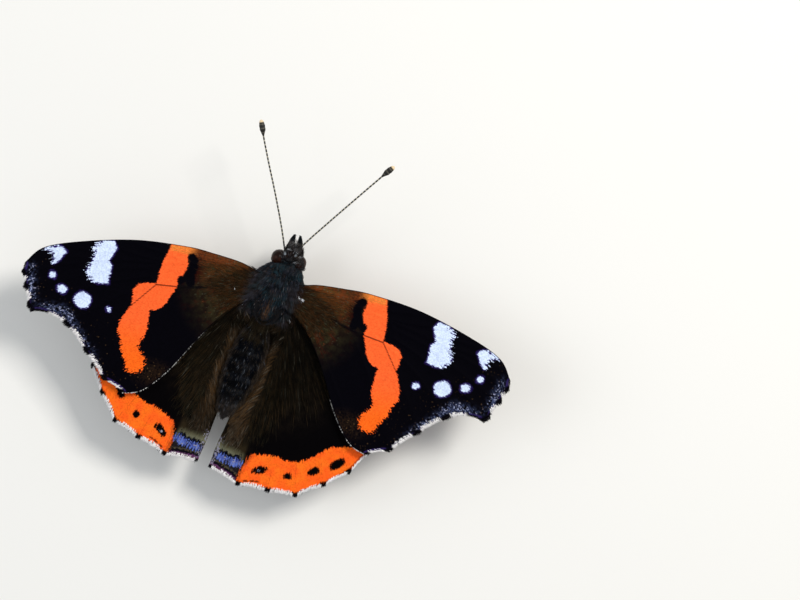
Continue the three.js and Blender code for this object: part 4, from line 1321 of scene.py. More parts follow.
legs = {
    "mid": {
        "femur": [(1, 1.2, 4.1), (2.8, 1.9, 4.2), (6, 2.5, 5.9)],
        "tibia": [(6, 2.5, 5.9), (8.2, 2.3, 3.3), (9.7, 1.9, 0.75)],
        "tarsus": [(9.7, 1.9, 0.75), (10.6, 1.8, 0.28), (12.2, 1.8, 0.25), (13.8, 2, 0.23)],
    },
    "hind": {
        "femur": [(1, -1.5, 4.2), (2.4, -2.6, 4.2), (5.2, -5.4, 5.7)],
        "tibia": [(5.2, -5.4, 5.7), (6.8, -8.2, 3.2), (7.9, -10.6, 0.75)],
        "tarsus": [(7.9, -10.6, 0.75), (8.4, -11.6, 0.28), (9, -13.1, 0.25), (9.6, -14.9, 0.23)],
    },
    "radii": {"femur": [0.36, 0.42, 0.34, 0.26], "tibia": [0.26, 0.24, 0.2], "tarsus": [0.17, 0.16, 0.14]},
    "footJoints": 5,
    "claw": 0.45,
    "clawSpread": 0.45,
    "clawRadii": [0.06, 0.05, 0.015],
    "swelling": 0.35,                  # of each joint of a foot
    "foreleg": [(1, 3.6, 4.4), (1.35, 4.6, 3.6), (1.3, 5.7, 3.3), (1.1, 6.6, 3.6)],
    "forelegRadii": [0.3, 0.3, 0.26, 0.12],
    "shank": ((0.11, 0.070, 0.040), (0.19, 0.135, 0.085)),
    "thigh": ((0.045, 0.034, 0.028), (0.085, 0.064, 0.050)),
}


def makeClaws(foot, material, pair, name):
    # a hooked pair at the end of the foot
    ahead = unit(foot[-1] - foot[-2])
    for label, turn in (("outer", 1), ("inner", -1)):
        out = np.array((-ahead[1], ahead[0], 0)) * turn * legs["clawSpread"]
        hook = [foot[-1], foot[-1] + (ahead + out + (0, 0, 0.25)) * legs["claw"] * 0.6,
                foot[-1] + (ahead * 1.5 + out * 1.1 - (0, 0, 0.25)) * legs["claw"] * 0.8]
        makeLimb(f"{pair}_claw_{label}_{name}", np.array(hook), rounded(legs["clawRadii"], 14),
                 [material], (), 8)


def makeLegs():
    shank = plainMaterial("leg scales", legs["shank"], 0.07, 0.55)
    thigh = plainMaterial("thigh scales", legs["thigh"], 0.07, 0.6)
    made = []
    for pair in ("mid", "hind"):
        for name, side in sides.items():
            for part, material in (("femur", thigh), ("tibia", shank), ("tarsus", shank)):
                path = np.array(legs[pair][part], float) * (side, 1, 1)
                joints = legs["footJoints"] if part == "tarsus" else 0
                line = rounded(legs["radii"][part], 60, joints, legs["swelling"])
                node = f"{pair}_{part}_{name}"
                made.append((part, makeLimb(f"{node}_skin", path, line, [material], [node], 14)))
            makeClaws(path, thigh, pair, name)
    for name, side in sides.items():
        path = np.array(legs["foreleg"], float) * (side, 1, 1)
        made.append(("foreleg", makeLimb(f"foreleg_{name}_skin", path, rounded(legs["forelegRadii"], 40),
                                         [thigh], [f"foreleg_{name}"])))
    return made


legPieces = makeLegs()
print("legs stand")


# Coat of the body

def bodyUnwrap(roots):
    # round the body one way and along it the other
    across = np.arctan2(roots[:, 2] - 6.6, roots[:, 0]) / (2 * math.pi) + 0.5
    along = (roots[:, 1] - tailEnd) / (headTop - tailEnd)
    return 0.02 + 0.96 * np.stack((across, along), 1)


coats = {
    "thorax": {"count": 11000, "length": 0.9, "width": 0.068, "lift": 32, "lie": 6, "spread": 0.18},
    "collar": {"count": 3400, "length": 1.0, "width": 0.06, "lift": 48, "lie": 26, "spread": 0.3},
    "shoulder": {"count": 4800, "length": 1.25, "width": 0.055, "lift": 28, "lie": 4, "spread": 0.2,
                 "perClump": 12},
    "abdomen": {"count": 9800, "length": 0.8, "width": 0.065, "lift": 30, "lie": 5, "spread": 0.32},
    "front": {"count": 1500, "length": 2.0, "width": 0.05, "lift": 16, "lie": 2, "spread": 0.16},
    "head": {"count": 5600, "length": 0.6, "width": 0.055, "lift": 50, "lie": 20, "spread": 0.35,
             "gather": 0.6},
    "snout": {"count": 1500, "length": 1.9, "width": 0.05, "lift": 22, "lie": 6, "spread": 0.2},
    "eye": {"count": 1500, "length": 0.27, "width": 0.03, "lift": 55, "lie": 30, "spread": 0.4,
            "gather": 0.3},
    "palp": {"count": 2600, "length": 0.7, "width": 0.048, "lift": 36, "lie": 20, "spread": 0.25,
             "perClump": 5, "gather": 0.5},
    "legs": {"count": 3200, "length": 0.28, "width": 0.035, "lift": 30, "lie": 20, "spread": 0.2},
    "forelegs": {"count": 1100, "length": 0.7, "width": 0.045, "lift": 40, "lie": 25, "spread": 0.3},
}


def wave(places, size, phase=0.0):
    # a soft patchiness from 0 to 1
    x, y, z = (places / size).T
    return 0.5 + 0.25 * (np.sin(x * 2.1 + 1.3 * np.sin(y * 1.7 + phase)) + np.sin(y * 2.9 + z + phase * 2))


# clusters of silvery scales, one of them a painted highlight: x, y, how far they scatter
silver = {
    "wings": [(3.5, 2.05, 0.16), (3.85, 1.75, 0.2), (-3.2, -1.7, 0.12), (3.4, -1.6, 0.18),
              (-5.3, -0.2, 0.1)],
    "shield": [(-0.95, -2.9, 0.1), (-0.5, -3.35, 0.14), (0.0, -3.5, 0.1)],
    # on the head the smallest cluster, at the root of the left antenna, is a painted highlight
    "head": [(1.65, 6.15, 0.22), (0.75, 7.25, 0.15), (1.2, 6.95, 0.12), (0.9, 6.05, 0.12),
             (-0.5, 6.95, 0.07), (2.3, 5.7, 0.2)],
    "palps": [(0.2, 8.8, 0.26), (0.42, 8.3, 0.3)],
}


def silvery(places, spots):
    gaps = [((places[:, :2] - (x, y)) ** 2).sum(1) / reach**2 for x, y, reach in silver[spots]]
    return np.exp(-np.min(gaps, 0))


def growThorax(draw):
    coat = dict(coats["thorax"])

    def thick(p, n):
        bare = np.exp(-((grooveGap(p) / 0.26) ** 2)) * (p[:, 2] > 7)
        ends = rampUp(p[:, 1], -4.3, -3.9) * (1 - rampUp(p[:, 1], 5.0, 5.3))
        return ends * (0.55 + 0.45 * (n[:, 2] > -0.3)) * (1 - 0.95 * bare)

    roots, normals = scatter(bodySkin, coat["count"], thick, draw)
    x, y, z = roots.T
    outward = np.sign(x) * rampUp(np.abs(x), 0.6, 3.2)
    aims = np.stack((outward * 0.5, np.full(len(x), -1.0), -0.5 * rampUp(np.abs(x), 2, 3.4)), 1)
    shoulder = rampUp(np.abs(x), 2.0, 3.0) * rampUp(z, 6.5, 8)
    groove = np.exp(-((grooveGap(roots) / 0.9) ** 2)) * (z > 7)
    coat["length"] = coat["length"] * (1 + 0.5 * shoulder) * (1 - 0.62 * groove) * (
        1 - 0.2 * rampUp(y, 3.6, 4.8))
    coat["lift"] = coat["lift"] - 16 * groove[:, None]
    beside = rampUp(np.abs(x), 0.7, 1.6) * rampUp(-y, 0.6, 2.0)
    # darker beside the middle and towards the rear, with painted shade on the tufts in the groove round the
    # shield
    coat["bright"] = (1 - 0.6 * beside) * (1 - 0.6 * rampUp(-y, 2.6, 3.6)) * (1 - 0.85 * groove)
    streak = np.exp(-(((x - 0.15) / 0.3) ** 2)) * (z > 7)
    streak = streak * rampUp(y, -2.6, -2.0) * (1 - rampUp(y, -0.9, 0.2))
    rear = rampUp(-y, 3.1, 3.7)
    luck = draw.random((3, len(x)))
    middle = np.exp(-((x / 0.5) ** 2)) * rampUp(-y, -2.6, -0.6) * (luck[1] < 0.3)
    warm = 0.9 * streak * (luck[0] < 0.8) + 0.25 * rear + 0.4 * middle + (luck[1] < 0.05) * 0.5
    warm = np.clip(warm, 0, 1)
    below = rampUp(-z, -5.2, -4.2)
    pale = np.clip(0.04 * wave(roots, 0.9) + 0.35 * below + (luck[2] < 0.02) * 0.5, 0, 1) * (1 - streak)
    pale = np.where((silvery(roots, "shield") > luck[1]) & (z > 7), 1.5 * luck[0], pale)
    growTufts("thorax_coat", roots, normals, aims, coat, bodyUnwrap(roots), {"warm": warm, "pale": pale},
              hair["body"], draw)


def growShoulders(draw):
    # hair of the thorax that runs out over the roots of the wings
    coat = dict(coats["shoulder"])
    found = []
    for (kind, name), vane in vanes.items():
        side = sides[name]
        front = 5.5 if kind == "forewing" else 0.5

        def near(p, n):
            x, y = p[:, 0] * side, p[:, 1]
            reach = (1 - rampUp(x, 2.7, 4.2)) * rampUp(x, 0.8, 1.4) + 2 * silvery(p, "wings")
            root = 1 + 2 * np.exp(-(((x - 2.5) / 0.8) ** 2) - ((y - 3.9) / 0.8) ** 2)
            return (n[:, 2] > -0.2) * reach * root * rampUp(y, -4.6, -3.0) * (y < front)

        found.append(scatter(vane, coat["count"] // 4, near, draw))
    roots, normals = (np.concatenate(column) for column in zip(*found))
    x, y = roots[:, :2].T
    far = rampUp(np.abs(x), 2.4, 4.0)
    ahead = rampUp(y, 2.6, 4.0)
    aims = np.stack((np.sign(x) * (0.45 + 0.9 * far), -1 + 0.5 * far, 0 * x), 1)
    coat["length"] = coat["length"] * (1.05 - 0.35 * far) * (1 - 0.5 * ahead)
    coat["bright"] = 1 - 0.6 * far
    shine = silvery(roots, "wings") > draw.uniform(0.3, 1.1, len(x))
    warm = np.clip(0.1 + 0.5 * far * draw.random(len(x)), 0, 1) * (1 - shine) * (1 - ahead)
    pale = np.where(shine, 3.0, 0.04 * wave(roots, 0.7) + (draw.random(len(x)) < 0.02) * 0.4)
    coat["length"] = np.where(shine, 0.5, coat["length"])
    coat["width"] = np.where(shine, 0.1, coat["width"])
    coat["lift"] = np.where(shine, 55, coat["lift"])[:, None]
    growTufts("shoulder_coat", roots, normals, aims, coat, spreadOver(roots[:, :2]),
              {"warm": warm, "pale": pale}, hair["body"], draw)


def growCollar(draw):
    # hair of the thorax's front that leans over the neck and the rear of the eyes
    coat = dict(coats["collar"])

    def near(p, n):
        return rampUp(p[:, 1], 3.9, 4.5) * (1 - rampUp(p[:, 1], 5.3, 5.7)) * (0.3 + 0.7 * (n[:, 2] > -0.2))

    roots, normals = scatter(bodySkin, coat["count"], near, draw)
    x = roots[:, 0] - body["neck"][0]
    wide = rampUp(np.abs(x), 1.0, 2.2)
    aims = np.stack((0.1 * x * (1 - 1.5 * wide), np.ones(len(x)), -0.15 * wide), 1)
    coat["length"] = coat["length"] * (0.8 - 0.1 * wide)
    coat["lift"] = coat["lift"] * (1 - 0.4 * wide)[:, None]
    luck = draw.random((2, len(x)))
    growTufts("collar_coat", roots, normals, aims, coat, bodyUnwrap(roots),
              {"warm": 0.3 * (luck[0] < 0.12), "pale": 0.03 + 0.3 * (luck[1] < 0.03)},
              hair["body"], draw)


def growAbdomen(draw):
    coat = dict(coats["abdomen"])
    roots, normals = scatter(bodySkin, coat["count"], lambda p, n: 1 - rampUp(p[:, 1], -4.2, -3.9), draw)
    x, y, z = roots.T
    flank = rampUp(np.abs(x) / np.maximum(0.4, alongRows(body["trunk"], y)[0]), 0.7, 0.95) * (z > 5.5)
    aims = np.stack((np.sign(x) * 0.5 * flank + 0.25 * (wave(roots, 0.5) - 0.5), np.full(len(x), -1.0),
                     0.25 * flank), 1)
    tail = rampUp(-y, 13.8, 16.2)
    coat["length"] = coat["length"] * (1 + 0.9 * flank + 0.3 * tail)
    rings = body["rings"]
    place = ((rings["from"] - y) / (rings["from"] - tailEnd) * rings["count"]) % 1
    border = np.exp(-(((place - 0.8) / 0.13) ** 2)) * rampUp(wave(roots, 1.1, 2.1), 0.3, 0.7)
    luck = draw.random((3, len(x)))
    warm = np.clip(flank * (0.1 + 0.9 * luck[0] ** 2) + 0.4 * tail * luck[1] + (luck[2] < 0.06) * 0.5, 0, 1)
    patchy = rampUp(wave(roots, 0.37, 0.7) * wave(roots, 0.9, 1.9), 0.35, 0.6)
    pale = np.clip((0.16 * border * luck[1] + 0.24 * patchy * luck[2]) * (1 - flank)
                   + 0.1 * tail * luck[0] + 0.9 * (luck[1] < 0.018), 0, 1)
    growTufts("abdomen_coat", roots, normals, aims, coat, bodyUnwrap(roots), {"warm": warm, "pale": pale},
              hair["belly"], draw)


def growAbdomenFront(draw):
    # brown hair from the thorax's rear over the front of the abdomen
    coat = dict(coats["front"])

    def rear(p, n):
        return rampUp(-p[:, 1], 2.6, 3.3) * (1 - rampUp(-p[:, 1], 4.2, 5.6)) * (n[:, 2] > 0.1)

    roots, normals = scatter(bodySkin, coat["count"], rear, draw)
    aims = np.stack((0.15 * roots[:, 0], np.full(len(roots), -1.0), 0 * roots[:, 0]), 1)
    luck = draw.random((2, len(roots)))
    growTufts("abdomen_front_coat", roots, normals, aims, coat, bodyUnwrap(roots),
              {"warm": 0.35 * luck[0], "pale": 0.4 * (luck[1] < 0.03)}, hair["wing"], draw)


def growHead(draw):
    coat = dict(coats["head"])
    roots, normals = scatter(bodySkin, coat["count"], lambda p, n: rampUp(p[:, 1], 4.9, 5.2), draw)
    away = [np.linalg.norm((roots - onHead([eye["centre"][name]], side)) / eye["radii"], axis=1)
            for name, side in sides.items()]
    eyeGap = np.min(away, 0)
    kept = eyeGap > 0.98
    roots, normals, eyeGap = roots[kept], normals[kept], eyeGap[kept]
    x, y, z = roots.T
    top = rampUp(z, 6.6, 7.8)
    beside = top * rampUp(np.abs(x), 0.35, 1.1)
    forward = 0.75 * rampUp(y, 4.9, 5.5) - 0.25
    aims = np.stack((np.sign(x) * (0.04 + 0.5 * beside), forward, 0.3 * top - 0.7 * (1 - top)), 1)
    coat["lift"] = coat["lift"] * (0.8 + 0.5 * top * rampUp(y, 5.6, 6.6))[:, None]
    coat["length"] = coat["length"] * (0.7 + 0.75 * top * rampUp(y, 5.7, 6.6))
    # the roots of the antennae stay free of long hair
    feelers = [distanceTo(onHead(path)[:2, :2], roots[:, :2]) for path in antenna["path"].values()]
    coat["length"] = coat["length"] * (0.4 + 0.6 * rampUp(np.min(feelers, 0), 0.1, 0.45))
    ring = 1 - rampUp(eyeGap, 1.06, 1.4)
    clumped = rampUp(wave(roots, 0.26, 1.3), 0.52, 0.72)
    coat["bright"] = 0.3 + 0.9 * clumped
    luck = draw.random((3, len(x)))
    pale = np.clip(0.3 * clumped * luck[0] + 0.6 * ring * (luck[0] < 0.2) + 0.6 * (luck[1] < 0.04), 0, 1)
    # pale and silvery tufts in the head's clusters, one of them a painted highlight at the left antenna's
    # root
    pale = np.where((silvery(roots, "head") > luck[2]) & (z > 6.8), 0.9 + luck[0], pale)
    warm = np.clip(0.1 + 0.3 * (luck[2] < 0.25), 0, 1) * rampUp(y, 5.6, 6.4)
    growTufts("head_coat", roots, normals, aims, coat, bodyUnwrap(roots), {"warm": warm, "pale": pale},
              hair["body"], draw)


def growSnout(draw):
    # the hair of the face, which runs out between the palps
    coat = dict(coats["snout"])

    def face(p, n):
        return rampUp(p[:, 1], 6.7, 7.1) * (p[:, 2] > 5.4) * (n[:, 1] > 0.2)

    roots, normals = scatter(bodySkin, coat["count"], face, draw)
    ahead = onHead([palp["path"][-1]]) - onHead([palp["path"][0]])
    middle = onHead([(0, 2, 6)])[0, 0]
    aims = ahead * (0.5, 1, 1.1) - (roots[:, :1] - middle) * (0.9, 0, 0)
    luck = draw.random((2, len(roots)))
    clumped = rampUp(wave(roots, 0.3, 2.2), 0.45, 0.7)
    coat["bright"] = 0.25 + 0.9 * clumped
    light = 1.5 * np.exp(-(((roots[:, 0] - middle) / 0.3) ** 2)) * (luck[1] > 0.45)
    warm = 0.1 + 0.4 * luck[0] * clumped
    pale = 1.2 * np.maximum(light, clumped * luck[1] ** 2)
    growTufts("snout_coat", roots, normals, aims, coat, bodyUnwrap(roots), {"warm": warm, "pale": pale},
              hair["body"], draw)


def growEyeHair(draw):
    # the short hair that stands on the eyes
    for name, side in sides.items():
        coat = dict(coats["eye"])
        centre = onHead([eye["centre"][name]], side)[0]

        def bare(p):
            # the front and outer side of an eye, where its own colour shows
            return rampUp((p - centre) / eye["radii"] @ (0.85 * side, 0.5, 0), 0.35, 0.8)

        roots, normals = scatter(eyes[name], coat["count"],
                                 lambda p, n: (n[:, 2] > -0.2) * (1.1 - bare(p)), draw)
        furred = 1 - bare(roots)
        coat["length"] = coat["length"] * (0.7 + 1.1 * furred)
        coat["width"] = coat["width"] * (0.6 + 0.8 * furred)
        aims = np.tile((0.3 * side, 1.0, 0.2), (len(roots), 1))
        coat["bright"] = 0.3 + 0.6 * rampUp(wave(roots, 0.25, 0.4), 0.4, 0.7)
        pale = np.clip(0.12 * furred + 0.5 * (draw.random(len(roots)) < 0.06), 0, 1)
        growTufts(f"eye_{name}_hair", roots, normals, aims, coat, spreadOver(roots[:, 1:]),
                  {"warm": 0.15 * draw.random(len(roots)), "pale": pale}, hair["body"], draw)


def growPalps(draw):
    for name, side in sides.items():
        coat = dict(coats["palp"])
        roots, normals = scatter(palps[name], coat["count"], lambda p, n: np.ones(len(p)), draw)
        ahead = onHead([palp["path"][-1]], side) - onHead([palp["path"][1]], side)
        aims = np.repeat(ahead, len(roots), 0)
        tip = rampUp(roots[:, 1], 8.5, 9.3)
        inner = rampUp(-side * normals[:, 0], -0.1, 0.6)
        below = rampUp(-normals[:, 2], 0.0, 0.6)
        aims[:, 0] -= 0.6 * side * inner * np.linalg.norm(ahead)
        coat["length"] = coat["length"] * (1 - 0.6 * tip) * (1 + 0.7 * inner)
        coat["lift"] = coat["lift"] * (1 - 0.5 * tip[:, None]) * (1 + 0.5 * inner[:, None])
        between = rampUp(-side * normals[:, 0], -0.5, 0.3) * rampUp(normals[:, 2], -0.3, 0.3)
        luck = draw.random((2, len(roots)))
        warm = np.clip((0.1 + 0.3 * inner) * (1 - tip) * luck[0], 0, 1)
        pale = np.clip(below * 0.75 + between * (luck[1] < 0.7) + 0.04, 0, 1) * (1 - 0.9 * tip)
        pale = np.where((silvery(roots, "palps") > luck[1]) & (normals[:, 2] > -0.3), 2.2, pale)
        growTufts(f"palp_{name}_coat", roots, normals, aims, coat, spreadOver(roots[:, 1:]),
                  {"warm": warm, "pale": pale}, hair["body"], draw)


legHairSize = {"femur": 1.5, "tibia": 1.0, "tarsus": 0.55, "foreleg": 1.0}


def growLegs(draw):
    for label, wanted, slot in (("legs", ("femur", "tibia", "tarsus"), "leg"),
                                ("forelegs", ("foreleg",), "foreleg")):
        chosen = [(part, piece) for part, piece in legPieces if part in wanted]
        found = []
        for part, piece in chosen:
            count = coats[label]["count"] // len(chosen)
            roots, normals = scatter(piece, count, lambda p, n: np.ones(len(p)), draw)
            places = trianglesOf(piece)[1]
            aims = np.tile(places[-1] - places[0], (count, 1))
            found.append((roots, normals, aims, np.full(count, legHairSize[part])))
        roots, normals, aims, size = (np.concatenate(column) for column in zip(*found))
        coat = dict(coats[label])
        coat["length"] = coat["length"] * size
        warm = 0.35 + 0.4 * draw.random(len(roots))
        pale = np.where(size > 1.2, 0.15, 0.5) * draw.random(len(roots))
        growTufts(f"{label}_coat", roots, normals, aims, coat, spreadOver(roots[:, :2]),
                  {"warm": warm, "pale": pale}, hair["leg"], draw)


for seed, growers in ((11, [growThorax]), (12, [growShoulders]), (17, [growCollar]),
                      (13, [growAbdomen, growAbdomenFront]), (14, [growHead, growSnout, growEyeHair]),
                      (15, [growPalps]), (16, [growLegs])):
    drawCoat = np.random.default_rng(seed)
    for grow in growers:
        grow(drawCoat)
print("body, head and legs have their coat")


# Hair-scales on the wings, streaming out from the roots, and the fringe of the margins

wingCoats = {
    "hindwing": {"count": 8200, "length": 3.0, "width": 0.05, "lift": 9, "lie": 1, "spread": 0.07,
                 "curl": 0.05, "sink": 0.04, "gather": 0.2},
    "ridge": {"count": 3900, "length": 1.9, "width": 0.05, "lift": 44, "lie": 10, "spread": 0.2,
              "curl": 0.14, "sink": 0.04, "perClump": 10, "tail": {"right": 0.62, "left": 0.3}},
    "forewing": {"count": 4200, "length": 1.2, "width": 0.045, "lift": 13, "lie": 2, "spread": 0.14,
                 "curl": 0.08, "sink": 0.04, "gather": 0.2},
    "fringe": {"spacing": 0.032, "length": 0.56, "width": 0.1, "lift": 5, "lie": 0, "spread": 0.05,
               "layers": 3, "sink": 0.0, "gather": 0.0, "tall": 0.2,
               "teeth": {"forewing": 0.96, "hindwing": 1.04}},
    "hindEdge": {"count": 600, "length": 0.2, "width": 0.05, "lift": 5, "lie": 0, "spread": 0.3,
                 "sink": 0.0, "gather": 0.2, "tall": 0.3, "from": {"right": 0.62, "left": 0.4}},
}


# painted shade: the hair of the right hindwing is made darker than that of the left
hindwingShade = {"right": 0.55, "left": 0.9}      # the right hindwing's hair lies in the shade


def growHindwingHair(name, draw):
    side = sides[name]
    vane = vanes["hindwing", name]
    coat = dict(wingCoats["hindwing"])

    def thick(p, n):
        x, y = p[:, 0] * side, p[:, 1]
        far = np.hypot(x - 1.5, y - 1)
        inner = 1 - rampUp(x, 3.5, 8)
        field = (1 - rampUp(far, 7, 18)) * (0.3 + 0.7 * inner) + 0.5 * inner * (1 - rampUp(-y, 17, 20.5))
        return (n[:, 2] > 0.2) * field * (1 - 0.9 * rampUp(y, -4, 0)) * rampUp(x, 1.2, 2.4)

    roots, normals = scatter(vane, coat["count"], thick, draw)
    x, y = roots[:, 0] * side, roots[:, 1]
    aims = unit(np.stack(((x - 1.2) * side, y - 3.5, 0 * x), 1))
    far = np.hypot(x - 1.5, y - 1)
    coat["length"] = coat["length"] * (1.1 - 0.45 * rampUp(far, 8, 20)) * (1 - 0.45 * rampUp(-y, 16, 19.5))
    # painted shade: the right side's hair is dimmed, and its pale and warm tufts with it
    dim = hindwingShade[name]
    inner = 1 - rampUp(x, 3.2, 5.2)
    coat["bright"] = dim + (1 - dim) * inner + 0.6 * inner * rampUp(-y, 15, 19)
    coat["bright"] = coat["bright"] * (0.45 + 0.55 * rampUp(-y, 4, 9)) * (1 + 0.9 * rampUp(-y, 10, 15))
    luck = draw.random(len(x))
    warm = np.clip((luck < 0.16) * 0.8 + 0.1, 0, 1) * (1 - 0.5 * rampUp(far, 13, 20)) * coat["bright"]
    pale = (luck > 0.988) * 0.5 * dim + 0.3 * (luck < 0.3) * inner * rampUp(-y, 18, 20)
    growTufts(f"hindwing_{name}_hair", roots, normals, aims, coat, spreadOver(roots[:, :2]),
              {"warm": warm, "pale": pale}, hair["wing"], draw)


def growRidge(name, draw):
    # taller hair along the body, which leans in over the trough that the abdomen lies in
    side = sides[name]
    vane = vanes["hindwing", name]
    coat = dict(wingCoats["ridge"])

    def besideBody(p, n):
        x, y = p[:, 0] * side, p[:, 1]
        return (n[:, 2] > 0.0) * rampUp(x, 1.3, 2.0) * (1 - rampUp(x, 3.0, 4.4)) * (
            rampUp(-y, 2.0, 4.2)) * (1 - rampUp(-y, 19.0, 21.4))

    roots, normals = scatter(vane, coat["count"], besideBody, draw)
    x, y = roots[:, 0] * side, roots[:, 1]
    inward = 0.9 * rampUp(x, 1.6, 2.6) * (1 - rampUp(x, 4.0, 5.0)) * (1 - rampUp(-y, 14, 18))
    aims = np.stack((-inward * side, np.full(len(x), -1.0), 0.4 * inward), 1)
    luck = draw.random((2, len(x)))
    tail = rampUp(-y, 16.5, 20)
    warm = np.clip((luck[0] < 0.3) * 0.8 + 0.1, 0, 1) * (1 - 0.5 * tail)
    pale = np.clip((luck[1] < 0.06) * 0.6 + 0.35 * tail * luck[0] * (luck[1] < 0.6), 0, 1)
    shade = 1 - (1 - coat["tail"][name]) * rampUp(-y, 13, 17)
    coat["bright"] = (0.2 + 1.0 * rampUp(-y, 3.5, 8)) * (1 - 0.6 * rampUp(x, 3.0, 4.4)) * shade
    coat["length"] = coat["length"] * (1 - 0.25 * tail)
    growTufts(f"hindwing_{name}_ridge", roots, normals, aims, coat, spreadOver(roots[:, :2]),
              {"warm": warm * coat["bright"], "pale": pale * shade}, hair["side"], draw)


def growForewingHair(name, draw):
    side = sides[name]
    vane = vanes["forewing", name]
    coat = dict(wingCoats["forewing"])
    hinge = np.array(wings["hinge"]) * (side, 1)

    def near(p, n):
        far = np.linalg.norm(p[:, :2] - hinge, axis=1)
        behindCosta = rampUp(-toHinge("forewing", p, name)[:, 1], -0.5, 0.4)
        reach = (1 - rampUp(far, 1.5, 9.5)) * rampUp(p[:, 0] * side, 2.6, 3.6)
        return (n[:, 2] > 0.2) * reach * behindCosta

    roots, normals = scatter(vane, coat["count"], near, draw)
    away = roots[:, :2] - hinge + np.array((1.5 * side, 1.0))
    aims = np.column_stack((away, np.zeros(len(away))))
    far = np.linalg.norm(roots[:, :2] - hinge, axis=1)
    coat["length"] = coat["length"] * (1.2 - 0.6 * rampUp(far, 2, 8))
    local = toHinge("forewing", roots, name)
    ahead = rampUp(local[:, 1] + 0.3 * local[:, 0], -0.2, 1.2) * rampUp(local[:, 0], 1.6, 3.4)
    glow = ahead * forewingMarks["glow"][name]
    coat["bright"] = (0.5 + 0.8 * ahead) * (0.2 + 0.8 * rampUp(roots[:, 0] * side, 2.4, 4.0))
    luck = draw.random(len(far))
    warm = np.clip((luck < 0.25 + 0.4 * glow) * 0.8 + 0.1, 0, 1) * coat["bright"]
    growTufts(f"forewing_{name}_hair", roots, normals, aims, coat, spreadOver(roots[:, :2]),
              {"warm": warm, "pale": (luck > 0.97) * 0.45}, hair["base"], draw)


def growRearEdge(name, draw):
    # the short pale edge along the rear of the forewing, broken here and there
    coat = dict(wingCoats["hindEdge"])
    back = smoothLine(forewing["hind"], 400)
    start = coat["from"][name]
    share = 1 - (1 - start) * draw.random(coat["count"]) ** 1.3
    local = placeOn(back, share)
    out = placeOn(np.gradient(back, axis=0), share)
    out = unit(np.stack((out[:, 1], -out[:, 0]), 1))
    out = np.where((out[:, 1:] > 0), -out, out)
    plan = fromHinge("forewing", local - out * 0.05, name)
    planEnd = fromHinge("forewing", local + out, name)
    roots, normals = onWing("forewing", plan, np.full(coat["count"], wings["thickness"] / 2 - 0.03))
    aims = np.column_stack((planEnd - plan, np.zeros(coat["count"])))
    broken = rampUp(np.sin(share * 230 + 3 * np.sin(share * 71)), -0.9, 0.5)
    pale = np.clip(broken * (0.3 + 0.7 * rampUp(share, start, 0.97)), 0, 1)
    growTufts(f"forewing_{name}_edge", roots, normals, aims, coat, spreadOver(local),
              {"warm": 0 * pale, "pale": pale * 0.65}, hair["fringe"], draw)


def growFringe(kind, shape, name, teethShare, whiteness, draw):
    # cilia along the outer margin: pale in the scallops and black at the teeth
    coat = dict(wingCoats["fringe"])
    margin = marginLine(shape, 600)
    length = np.linalg.norm(np.diff(margin, axis=0), axis=1).sum()
    count = int(length / coat["spacing"]) * coat["layers"]
    v = np.sort(draw.random(count))
    inset = draw.uniform(0.0, 0.35, count)
    outer = planOf(shape, np.full(count, 1.0), v)
    inner = planOf(shape, np.full(count, 0.97), v)
    ways = unit(outer - inner)
    local = outer - ways * inset[:, None]
    plan = fromHinge(kind, local, name)
    planEnd = fromHinge(kind, local + ways, name)
    roots, normals = onWing(kind, plan, draw.uniform(-0.6, 0.9, count) * wings["thickness"] / 2)
    aims = np.column_stack((planEnd - plan, np.zeros(count)))
    margins = placeOn(margin, v)
    teeth = np.array(shape["teeth"], float)
    toTooth = np.min(np.linalg.norm(margins[:, None] - teeth[None], axis=2), 1)
    light = rampUp(toTooth, *teethShare) * whiteness(margins)
    pale = light * (draw.random(count) < 0.97)
    # longer at the teeth than between them
    hollow = coat["teeth"][kind] - 0.13 * rampUp(toTooth, 0.2, 1.6)
    coat["length"] = coat["length"] * hollow * (0.55 + 0.45 * (1 - inset))
    growTufts(f"{kind}_{name}_fringe", roots, normals, aims, coat, spreadOver(local),
              {"warm": 0.25 * pale * draw.random(count), "pale": pale}, hair["fringe"], draw)


def forewingWhite(places):
    # the forewing's fringe is dark before the tooth of the middle veins and round it
    x, y = places.T
    return 1 - rampUp(x, 28.0, 28.7) * rampUp(-y, 10.9, 11.5)


for wingName in sides:
    drawWing = np.random.default_rng(21 + sides[wingName])
    for grow in (growHindwingHair, growRidge, growForewingHair, growRearEdge):
        grow(wingName, drawWing)
    growFringe("forewing", forewing, wingName, (0.6, 0.85), forewingWhite, drawWing)
    growFringe("hindwing", hindwing, wingName, (0.3, 0.5), lambda places: 1.0, drawWing)
print("wings have their hair and fringe")


# Floor, light and camera

view = {
    "image": (800, 600), "pixelsPerMm": 7.1, "turn": 22.6, "bodyPixel": (270, 300),
    "lens": 100, "sensor": 36, "focusHeight": 9, "clipStart": 0.01,
}
studio = {
    "floor": 2.0, "floorColour": (0.80, 0.79, 0.76), "floorRoughness": 0.85, "floorGloss": 0.1,
    "world": (0.93, 0.96, 1.0), "worldStrength": 0.5,
    "lamps": {"key": ((0.20, 0.30, 0.42), 0.16, 2.3, (1.0, 0.97, 0.92)),
              "fill": ((-0.36, -0.12, 0.34), 0.35, 0.8, (0.9, 0.95, 1.0))},
}


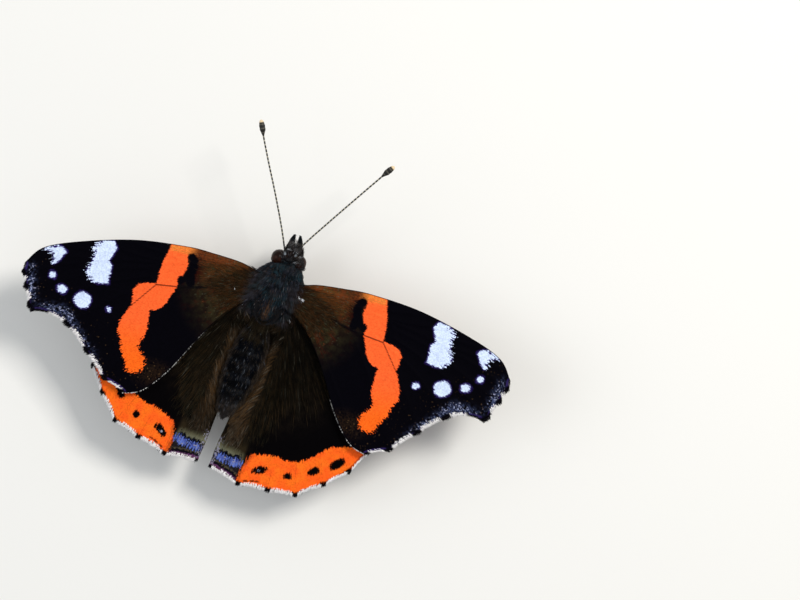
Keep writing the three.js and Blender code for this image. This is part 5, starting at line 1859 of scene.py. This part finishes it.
def makeFloor():
    bm = bmesh.new()
    bmesh.ops.create_grid(bm, x_segments=4, y_segments=4, size=studio["floor"] / 2)
    material, _, shader = newMaterial("floor")
    shader.inputs["Base Color"].default_value = (*studio["floorColour"], 1)
    shader.inputs["Roughness"].default_value = studio["floorRoughness"]
    shader.inputs["Specular IOR Level"].default_value = studio["floorGloss"]
    mesh = bpy.data.meshes.new("floor")
    bm.to_mesh(mesh)
    bm.free()
    mesh.materials.append(material)
    floor = bpy.data.objects.new("floor", mesh)
    bpy.context.scene.collection.objects.link(floor)


def makeLight():
    world = bpy.data.worlds.new("studio")
    world.use_nodes = True
    ground = world.node_tree.nodes["Background"]
    ground.inputs["Color"].default_value = (*studio["world"], 1)
    ground.inputs["Strength"].default_value = studio["worldStrength"]
    bpy.context.scene.world = world
    for label, (place, size, power, colour) in studio["lamps"].items():
        lamp = bpy.data.lights.new(label, "AREA")
        lamp.energy = power
        lamp.size = size
        lamp.color = colour
        holder = bpy.data.objects.new(label, lamp)
        holder.location = place
        holder.rotation_euler = (-Vector(place)).to_track_quat("-Z", "Y").to_euler()
        bpy.context.scene.collection.objects.link(holder)


def makeCamera():
    # straight down, turned so that the body lies across the image as in the photograph
    scale = view["pixelsPerMm"]
    width, height = view["image"]
    turn = math.radians(view["turn"])
    right = width / 2 - view["bodyPixel"][0]
    down = height / 2 - view["bodyPixel"][1]
    x = (right * math.cos(turn) + down * math.sin(turn)) / scale
    y = (right * math.sin(turn) - down * math.cos(turn)) / scale
    away = width / scale * view["lens"] / view["sensor"]
    data = bpy.data.cameras.new("camera")
    data.lens = view["lens"]
    data.sensor_width = view["sensor"]
    data.clip_start = view["clipStart"]
    camera = bpy.data.objects.new("camera", data)
    camera.location = toFrame((x, y, view["focusHeight"] + away))
    camera.rotation_euler = (0, 0, turn)
    bpy.context.scene.collection.objects.link(camera)
    bpy.context.scene.camera = camera


makeFloor()
makeLight()
makeCamera()
bpy.context.scene.view_settings.view_transform = "Standard"
print("floor, lights and camera are set")
